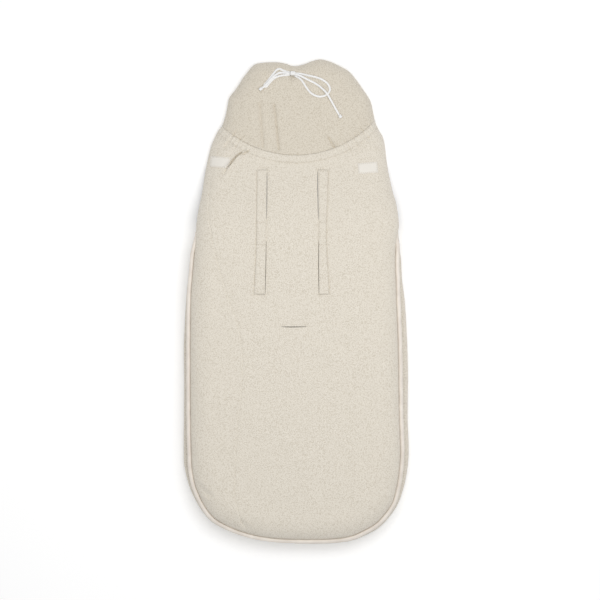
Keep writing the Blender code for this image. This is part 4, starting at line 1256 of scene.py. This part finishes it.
class FOOTMUFF_OT_front(bpy.types.Operator):
    """Builds the front cover with its bound edge and the wall round the foot"""

    bl_idname = "footmuff.front"
    bl_label = "Front cover"

    def execute(self, context):
        across = np.arange(-HALF_WIDTH, HALF_WIDTH, OUTLINE_STEP)
        edge = np.array([(x, FRONT_TOP_Y) for x in across])
        edge = edge[inside_outline(edge)]
        plan = plan_mesh(lambda p: p[:, 1] < FRONT_TOP_Y, [edge], [], INNER_DEPTH)
        front = shell("front_pad", plan, front_height, INNER_DEPTH, material("fleece"))
        self.swell(front)
        fit_piece(
            front, "front_cover", "fleece", "front_outer_fabric", "front_wadding", "front_lining",
        )
        self.binding(edge)
        gusset = outline_strip(
            "foot_wall", lambda p: p[:, 1] < ZIP_LOW_Y - GAP, FOOT_WALL_INSET, FOOT_WALL_WIDTH,
            FRONT_RIM_Z + GAP, False, material("fleece"),
        )
        fit_piece(gusset, "front_cover", "fleece", "foot_gusset")
        return {"FINISHED"}

    def swell(self, front):
        """Pushes the outer face of the front's side out beyond its rim."""
        places = np.array([tuple(v.co) for v in front.data.vertices])
        normals = ring_normals(OUTLINE)
        distance, _ = nearest_on_outline(places[:, :2])
        outer = np.abs(places[:, 2] - front_height(places[:, :2])) < 0.0001
        turn = np.arccos(np.clip(1 - distance / EDGE_ROUND, 0, 1))
        y, *sides = zip(*FRONT_SWELL)
        left, right = [np.interp(places[:, 1], y, side) for side in sides]
        reach = np.where(places[:, 0] < 0, left, right)
        amount = reach * np.sin(2 * turn) ** 0.6 * outer
        for vertex, place, push in zip(front.data.vertices, places, amount):
            if push > 0:
                nearest = np.argmin(((OUTLINE - place[:2]) ** 2).sum(1))
                vertex.co.x -= normals[nearest][0] * push
                vertex.co.y -= normals[nearest][1] * push

    def binding(self, edge):
        rings = []
        for place in edge:
            spot = np.array([[place[0], FRONT_TOP_Y - 0.001]])
            low, high = front_height(spot)[0], front_height(spot, INNER_DEPTH)[0]
            tall = max(high - low, 0.001)
            rings.append([
                (place[0], FRONT_TOP_Y + BINDING_REACH + across, (low + high) / 2 + up * tall)
                for across, up in rounded_section(BINDING_WIDTH, 1.0, BINDING_CORNER)
            ])
        binding = strip("top_binding", rings, material("tape"))
        fit_piece(binding, "front_cover", "tape", "front_top_binding")


class FOOTMUFF_OT_edges(bpy.types.Operator):
    """Builds the edge piping and the tapes beside the shoulders"""

    bl_idname = "footmuff.edges"
    bl_label = "Piping and edge tapes"

    def execute(self, context):
        settings = context.scene.footmuff
        normals = ring_normals(OUTLINE)
        count = len(OUTLINE)
        above = np.flatnonzero(OUTLINE[:, 1] > PIPING_TOP_Y)
        order = [i % count for i in range(above[-1], count + above[0])]
        ring = OUTLINE[order]
        steps = np.linalg.norm(np.diff(ring, axis=0), axis=1)
        travel = np.concatenate([[0], np.cumsum(steps)])
        from_end = np.minimum(travel, travel[-1] - travel)
        tuck_length = np.where(ring[:, 0] < 0, *PIPING_TUCK_LENGTHS)
        tuck = 1 - smooth_share(from_end / tuck_length, 0, 1)
        wander = settings.piping_wave * np.sin(travel * 140) * np.sin(travel * 37)
        outward = GAP + PIPING_DIAMETER / 2 + wander - PIPING_TUCK * tuck
        height = BACK_RIM_Z + PIPING_RISE - PIPING_TUCK_DROP * tuck
        path = np.column_stack([ring - normals[order] * outward[:, None], height])
        piping = tube(
            "edge_welt", path, settings.piping_width, 12, material("piping"), 0.85,
        )
        fit_piece(piping, "back", "piping", "edge_piping")
        for side_name, side in SIDES:
            tape = outline_strip(
                f"{side_name}_shoulder_edge",
                lambda p: (p[:, 1] > LOW_Y) & (beyond_neck(p) > 0) & (p[:, 0] * side > 0),
                STRIP_INSET, SHOULDER_TAPE_WIDTH, HEAD_DROP, True, material("fleece"),
            )
            fit_piece(tape, "neck", "tape", f"{side_name}_shoulder_tape")
        return {"FINISHED"}


class FOOTMUFF_OT_trim(bpy.types.Operator):
    """Builds the neck band, the slot welts and the shoulder patches"""

    bl_idname = "footmuff.trim"
    bl_label = "Band, welts and patches"

    def execute(self, context):
        settings = context.scene.footmuff
        self.band(settings.band_thickness)
        self.welts(settings.welt_thickness)
        self.patches(settings.patch_thickness)
        return {"FINISHED"}

    def band(self, thickness):
        turns = neck_turn(neck_line(BAND_WIDTH / 2))
        first, last = turns.min() + BAND_END_TURN, turns.max() - BAND_END_TURN

        def to_plan(u, v):
            turn = first + (last - first) * (v + 1) / 2
            radius = NECK_RADIUS + BAND_WIDTH / 2 - u * BAND_WIDTH / 2
            radius += pucker(turn) * (1 + u) / 2
            return np.column_stack([
                np.sin(turn) * radius, NECK_CENTRE_Y - np.cos(turn) * radius,
            ])

        def press(u, v):
            turn = first + (last - first) * (v + 1) / 2
            ends = smooth_share(np.abs(v), 0.25, 0.80)
            return thickness * 0.9 * ends * (gather_wave(turn) + 1) * (1 - np.abs(u) ** 3) / 2

        band = laid_pad("neck_tunnel", to_plan, 9, 260, thickness, material("fleece"), press)
        fit_piece(band, "neck", "fleece", "neck_band", "neck_elastic")

    def welts(self, thickness):
        middle_y = (WELT_Y[0] + WELT_Y[1]) / 2
        half_y = (WELT_Y[1] - WELT_Y[0]) / 2
        depth, half_width = WELT_BOX_PRESS
        for side_name, side, slit, edge in WELTS:

            def to_plan(u, v):
                y = middle_y + v * half_y
                near, far = across_at(slit, y) + side * 0.0002, across_at(edge, y)
                return np.column_stack([(near + far) / 2 - u * (near - far) / 2, y])

            def press(u, v):
                y = middle_y + v * half_y
                return depth * sum(np.exp(-((y - line) / half_width) ** 2) for line in WELT_BOX_Y)

            welt = laid_pad(
                f"{side_name}_welt", to_plan, 11, 120, thickness, material("fleece"), press,
            )
            solids = [f"{side_name}_slot_{part}" for part in ("welt", "hook_pad", "loop_pad")]
            fit_piece(welt, "back", "fleece", *solids)

    def patches(self, thickness):
        for (side_name, _), patch in zip(SIDES, PATCHES):

            def to_plan(u, v):
                flat = np.column_stack([v * PATCH_SIZE[0] / 2, u * PATCH_SIZE[1] / 2])
                return on_patch(flat, patch)

            pad = laid_pad(f"{side_name}_patch", to_plan, 13, 26, thickness, material("patch"))
            fit_piece(pad, "neck", "fastening", f"{side_name}_shoulder_patch")


class FOOTMUFF_OT_zips(bpy.types.Operator):
    """Builds the zip tapes and coils, and finishes the metal parts"""

    bl_idname = "footmuff.zips"
    bl_label = "Side zips"

    def execute(self, context):
        tooth = row_of_nodes("coil_row", material("coil"))
        for side_name, _ in SIDES:
            for half, body, shift in (("front", "front_cover", 0), ("back", "back", 0.5)):
                start = f"{side_name}_{half}_zip"
                self.tape(start, body)
                self.coil(start, body, shift * TOOTH_PITCH, tooth)
        for name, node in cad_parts.items():
            if name.endswith(("slider", "pull", "stop")):
                node.data.materials.clear()
                node.data.materials.append(material("metal"))
        return {"FINISHED"}

    def tape(self, start, body):
        low, high = map(np.array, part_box(f"{start}_tape"))
        (x, _, z), (width, _, tall) = (low + high) / 2, high - low
        section = rounded_section(width, tall, TAPE_CORNER)
        stations = np.arange(low[1], high[1], TAPE_STEP)
        rings = [[(x + a, y, z + b) for a, b in section] for y in stations]
        tape = strip(f"{start}_ribbon", rings, material("tape"))
        fit_piece(tape, body, "tape", f"{start}_tape")

    def coil(self, start, body, shift, tooth):
        low, high = map(np.array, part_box(f"{start}_coil"))
        x, _, z = (low + high) / 2
        path = [(x, low[1] + COIL_MARGIN + shift, z), (x, high[1] - COIL_MARGIN, z)]
        coil = repeat_along(
            f"{start}_teeth", [path], tooth, TOOTH_PITCH, TOOTH_SIZE, material("coil"),
        )
        fit_piece(coil, body, "coil", f"{start}_coil")


class FOOTMUFF_OT_stitches(bpy.types.Operator):
    """Sews the stitch rows of the back"""

    bl_idname = "footmuff.stitches"
    bl_label = "Stitches"

    def execute(self, context):
        settings = context.scene.footmuff
        thick = settings.stitch_thickness
        size = (thick, thick, settings.stitch_pitch * STITCH_SHARE)
        group = row_of_nodes("stitch_row", material("thread"))
        rows = [on_top(neck_line(BAND_WIDTH - BAND_STITCH_INSET), BAND_STITCH_LIFT)]
        for _, side, slit, edge in WELTS:
            low, high = WELT_BOX_Y
            near = [across_at(slit, y) + side * STITCH_INSET for y in (low, high)]
            far = [across_at(edge, y) - side * STITCH_INSET for y in (low, high)]
            box = [(near[0], low), (far[0], low), (far[1], high), (near[1], high), (near[0], low)]
            path = np.vstack([np.linspace(a, b, 12) for a, b in zip(box, box[1:])])
            rows.append(on_top(path, settings.welt_thickness - 0.0004))
        ring = rectangle([side - PATCH_STITCH_INSET * 2 for side in PATCH_SIZE], 0.004)
        ring = np.vstack([ring, ring[:1]])
        for patch in PATCHES:
            rows.append(on_top(on_patch(ring, patch), settings.patch_thickness + 0.0002))
        stitches = repeat_along(
            "back_stitches", rows, group, settings.stitch_pitch, size, material("thread"),
        )
        fit_piece(stitches, "neck", "fleece")
        return {"FINISHED"}


class FOOTMUFF_OT_drawstring(bpy.types.Operator):
    """Ties the bow of the drawstring on the hood"""

    bl_idname = "footmuff.drawstring"
    bl_label = "Drawstring bow"

    def execute(self, context):
        knot = self.knot("bow_tie", "bow_knot", 0.0)
        for name, route, far_end in (
            ("left_loop", LEFT_LOOP_ROUTE, "object"), ("right_loop", RIGHT_LOOP_ROUTE, "object"),
            ("left_tail", LEFT_TAIL_ROUTE, "knot"), ("right_tail", RIGHT_TAIL_ROUTE, "knot"),
        ):
            side_name, part = name.split("_")
            cord, path = self.cord(name, route, f"{side_name}_bow_{part}")
            on_it = [knot] if name == "left_loop" else []
            if far_end == "knot":
                along = np.array(route[-1]) - np.array(route[-2])
                heading = math.atan2(along[1], along[0])
                on_it.append(self.knot(f"{name}_knot", f"{side_name}_cord_end_knot", heading))
        self.runs()
        return {"FINISHED"}

    def runs(self):
        """The held part of the cord: from the knot round each side of the hood."""
        low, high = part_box("bow_knot")
        exit_x, exit_y = (low[0] + high[0]) / 2, (low[1] + high[1]) / 2
        ring = OUTLINE + ring_normals(OUTLINE) * RUN_INSET
        for side_name, side in SIDES:
            corner_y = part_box(f"{side_name}_drawstring_run")[0][1]
            held = ring[(ring[:, 1] > corner_y) & (side * (ring[:, 0] - exit_x) > RUN_CLEAR)]
            held = held[::-side]
            heights = top_height(held, RUN_DEPTH)
            start = (exit_x + side * RUN_START, exit_y, low[2])
            path = np.vstack([start, np.column_stack([held, heights])])
            run = tube(f"{side_name}_run", path, CORD_DIAMETER, 10, material("cord"))
            fit_piece(run, "neck", "cord", f"{side_name}_drawstring_run")

    def cord(self, name, route, node):
        """A cord that settles on the hood, its height evened out over a few points."""
        path = smooth_path([(*point, 0.0)[:3] for point in route], CORD_STEP)
        rest = np.pad(top_height(path[:, :2]), CORD_SETTLE // 2, "edge")
        rest = np.convolve(rest, np.ones(CORD_SETTLE) / CORD_SETTLE, "valid")
        path[:, 2] += rest + CORD_DIAMETER / 2 + GAP
        cord = tube(name, path, CORD_DIAMETER, 12, material("cord"))
        fit_piece(cord, "hood", "cord", node)
        return cord, path.tolist()

    def knot(self, name, node, heading):
        """A wrapped knot: turns of cord round a filled middle."""
        low, high = map(np.array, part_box(node))
        length, tall = max(high[:2] - low[:2]), high[2] - low[2]
        across = np.arange(16) / 16 * 2 * math.pi
        ball = [
            np.column_stack([
                np.cos(across) * math.sin(polar) * length, np.sin(across) * math.sin(polar) * tall,
                np.full(len(across), math.cos(polar) * tall),
            ]) / 2
            for polar in np.linspace(0, math.pi, 11)
        ]
        thick = length / (2.2 * KNOT_WRAPS)
        wraps = [
            self.wrap((wrap - (KNOT_WRAPS - 1) / 2) * length / (KNOT_WRAPS + 0.6),
                      tall / 2 - thick * 0.55, thick, 0.25 * (-1) ** wrap)
            for wrap in range(KNOT_WRAPS)
        ]
        vertices, faces = [], []
        for rings in (ball, *wraps):
            points, joined = join_rings(rings, rings is not ball)
            faces += [tuple(index + len(vertices) for index in face) for face in joined]
            vertices += points
        ahead, aside = math.cos(heading), math.sin(heading)
        spin = np.array([[ahead, aside, 0], [-aside, ahead, 0], [0, 0, 1]])
        obj = new_piece(name, vertices @ spin + (low + high) / 2, faces, [material("cord")])
        obj.data.edges.foreach_set("use_edge_sharp", [False] * len(obj.data.edges))
        obj.data.uv_layers.new(name="UVMap")
        fit_piece(obj, "hood", "cord", node)
        return obj

    def wrap(self, shift, reach, thick, lean):
        """The rings of one turn of cord round the knot, slanted by its lean."""
        around = np.arange(8) / 8 * 2 * math.pi
        radius = reach + np.cos(around) * thick
        return [
            np.column_stack([
                shift + np.sin(around) * thick + lean * thick * math.sin(turn) * 2,
                math.cos(turn) * radius, math.sin(turn) * radius,
            ])
            for turn in np.arange(20) / 20 * 2 * math.pi
        ]


class FOOTMUFF_OT_stage(bpy.types.Operator):
    """Sets the camera, the floor and the lights"""

    bl_idname = "footmuff.stage"
    bl_label = "Stage"

    def execute(self, context):
        settings = context.scene.footmuff_stage
        self.camera(context.scene)
        self.floor(settings)
        self.lights(context.scene, settings)
        return {"FINISHED"}

    def camera(self, scene):
        data = bpy.data.cameras.new("camera")
        data.lens = LENS
        data.sensor_width = SENSOR
        data.clip_end = VIEW_END
        scene.camera = add_object("camera", data)
        width = PHOTO_PIXELS * MILLIMETRES_PER_PIXEL / 1000
        scene.camera.location = (*PHOTO_CENTRE, width * LENS / SENSOR + BACK_RIM_Z)

    def floor(self, settings):
        bm = bmesh.new()
        bmesh.ops.create_grid(bm, x_segments=1, y_segments=1, size=FLOOR_HALF)
        mesh = bpy.data.meshes.new("floor")
        bm.to_mesh(mesh)
        bm.free()
        ground, tree = new_material("painted_floor", 0.9)
        shader = tree.nodes["Principled BSDF"]
        shader.inputs["Base Color"].default_value = (*settings.floor_colour, 1)
        shader.inputs["Specular IOR Level"].default_value = 0
        self.lift_to_white(tree, shader, settings.floor_lift)
        mesh.materials.append(ground)
        floor = add_object("floor", mesh)
        floor.location.z = -GAP

    def lift_to_white(self, tree, shader, lift):
        """Adds a little white that only the camera and mirrors see, so the shadow stays."""
        ray = add_node(tree, "ShaderNodeLightPath")
        mirrored = add_node(
            tree, "ShaderNodeMath",
            {0: (ray, "Is Glossy Ray"), 1: (ray, "Is Transmission Ray")}, operation="MAXIMUM",
        )
        seen = add_node(
            tree, "ShaderNodeMath", {0: (ray, "Is Camera Ray"), 1: (mirrored, "Value")},
            operation="MAXIMUM",
        )
        amount = add_node(
            tree, "ShaderNodeMath", {0: (seen, "Value")}, {1: lift}, operation="MULTIPLY",
        )
        glow = add_node(tree, "ShaderNodeEmission", {"Strength": (amount, "Value")})
        both = add_node(tree, "ShaderNodeAddShader", {0: (shader, "BSDF"), 1: (glow, "Emission")})
        tree.links.new(both.outputs[0], tree.nodes["Material Output"].inputs["Surface"])

    def lights(self, scene, settings):
        scene.view_settings.view_transform = "Standard"
        world = bpy.data.worlds.new("sky")
        world.use_nodes = True
        sky = world.node_tree.nodes["Background"]
        sky.inputs["Color"].default_value = (1, 1, 1, 1)
        sky.inputs["Strength"].default_value = settings.sky_strength
        scene.world = world
        data = bpy.data.lights.new("key", "AREA")
        data.size = KEY_SIZE
        data.energy = settings.key_power
        key = add_object("key", data)
        key.location = KEY_PLACE
        key.rotation_euler = (-key.location).to_track_quat("-Z", "Y").to_euler()


OPERATORS = (
    FOOTMUFF_OT_materials,
    FOOTMUFF_OT_stage,
    FOOTMUFF_OT_drawstring,
    FOOTMUFF_OT_back,
    FOOTMUFF_OT_hood,
    FOOTMUFF_OT_front,
    FOOTMUFF_OT_edges,
    FOOTMUFF_OT_trim,
    FOOTMUFF_OT_zips,
    FOOTMUFF_OT_stitches,
)


class FOOTMUFF_PT_panel(bpy.types.Panel):
    bl_idname = "FOOTMUFF_PT_panel"
    bl_label = "Stroller footmuff"
    bl_space_type = "VIEW_3D"
    bl_region_type = "UI"
    bl_category = "Footmuff"

    def draw(self, context):
        layout = self.layout
        for settings in (context.scene.footmuff, context.scene.footmuff_stage):
            for name in settings.__annotations__:
                layout.prop(settings, name)
        for operator in OPERATORS:
            layout.operator(operator.bl_idname)


CLASSES = (FootmuffSettings, StageSettings, *OPERATORS, FOOTMUFF_PT_panel)


def register():
    for cls in CLASSES:
        bpy.utils.register_class(cls)
    bpy.types.Scene.footmuff = bpy.props.PointerProperty(type=FootmuffSettings)
    bpy.types.Scene.footmuff_stage = bpy.props.PointerProperty(type=StageSettings)


def unregister():
    del bpy.types.Scene.footmuff_stage
    del bpy.types.Scene.footmuff
    for cls in reversed(CLASSES):
        bpy.utils.unregister_class(cls)


def main():
    register()
    for operator in OPERATORS:
        group, name = operator.bl_idname.split(".")
        getattr(getattr(bpy.ops, group), name)()


if __name__ == "__main__":
    main()
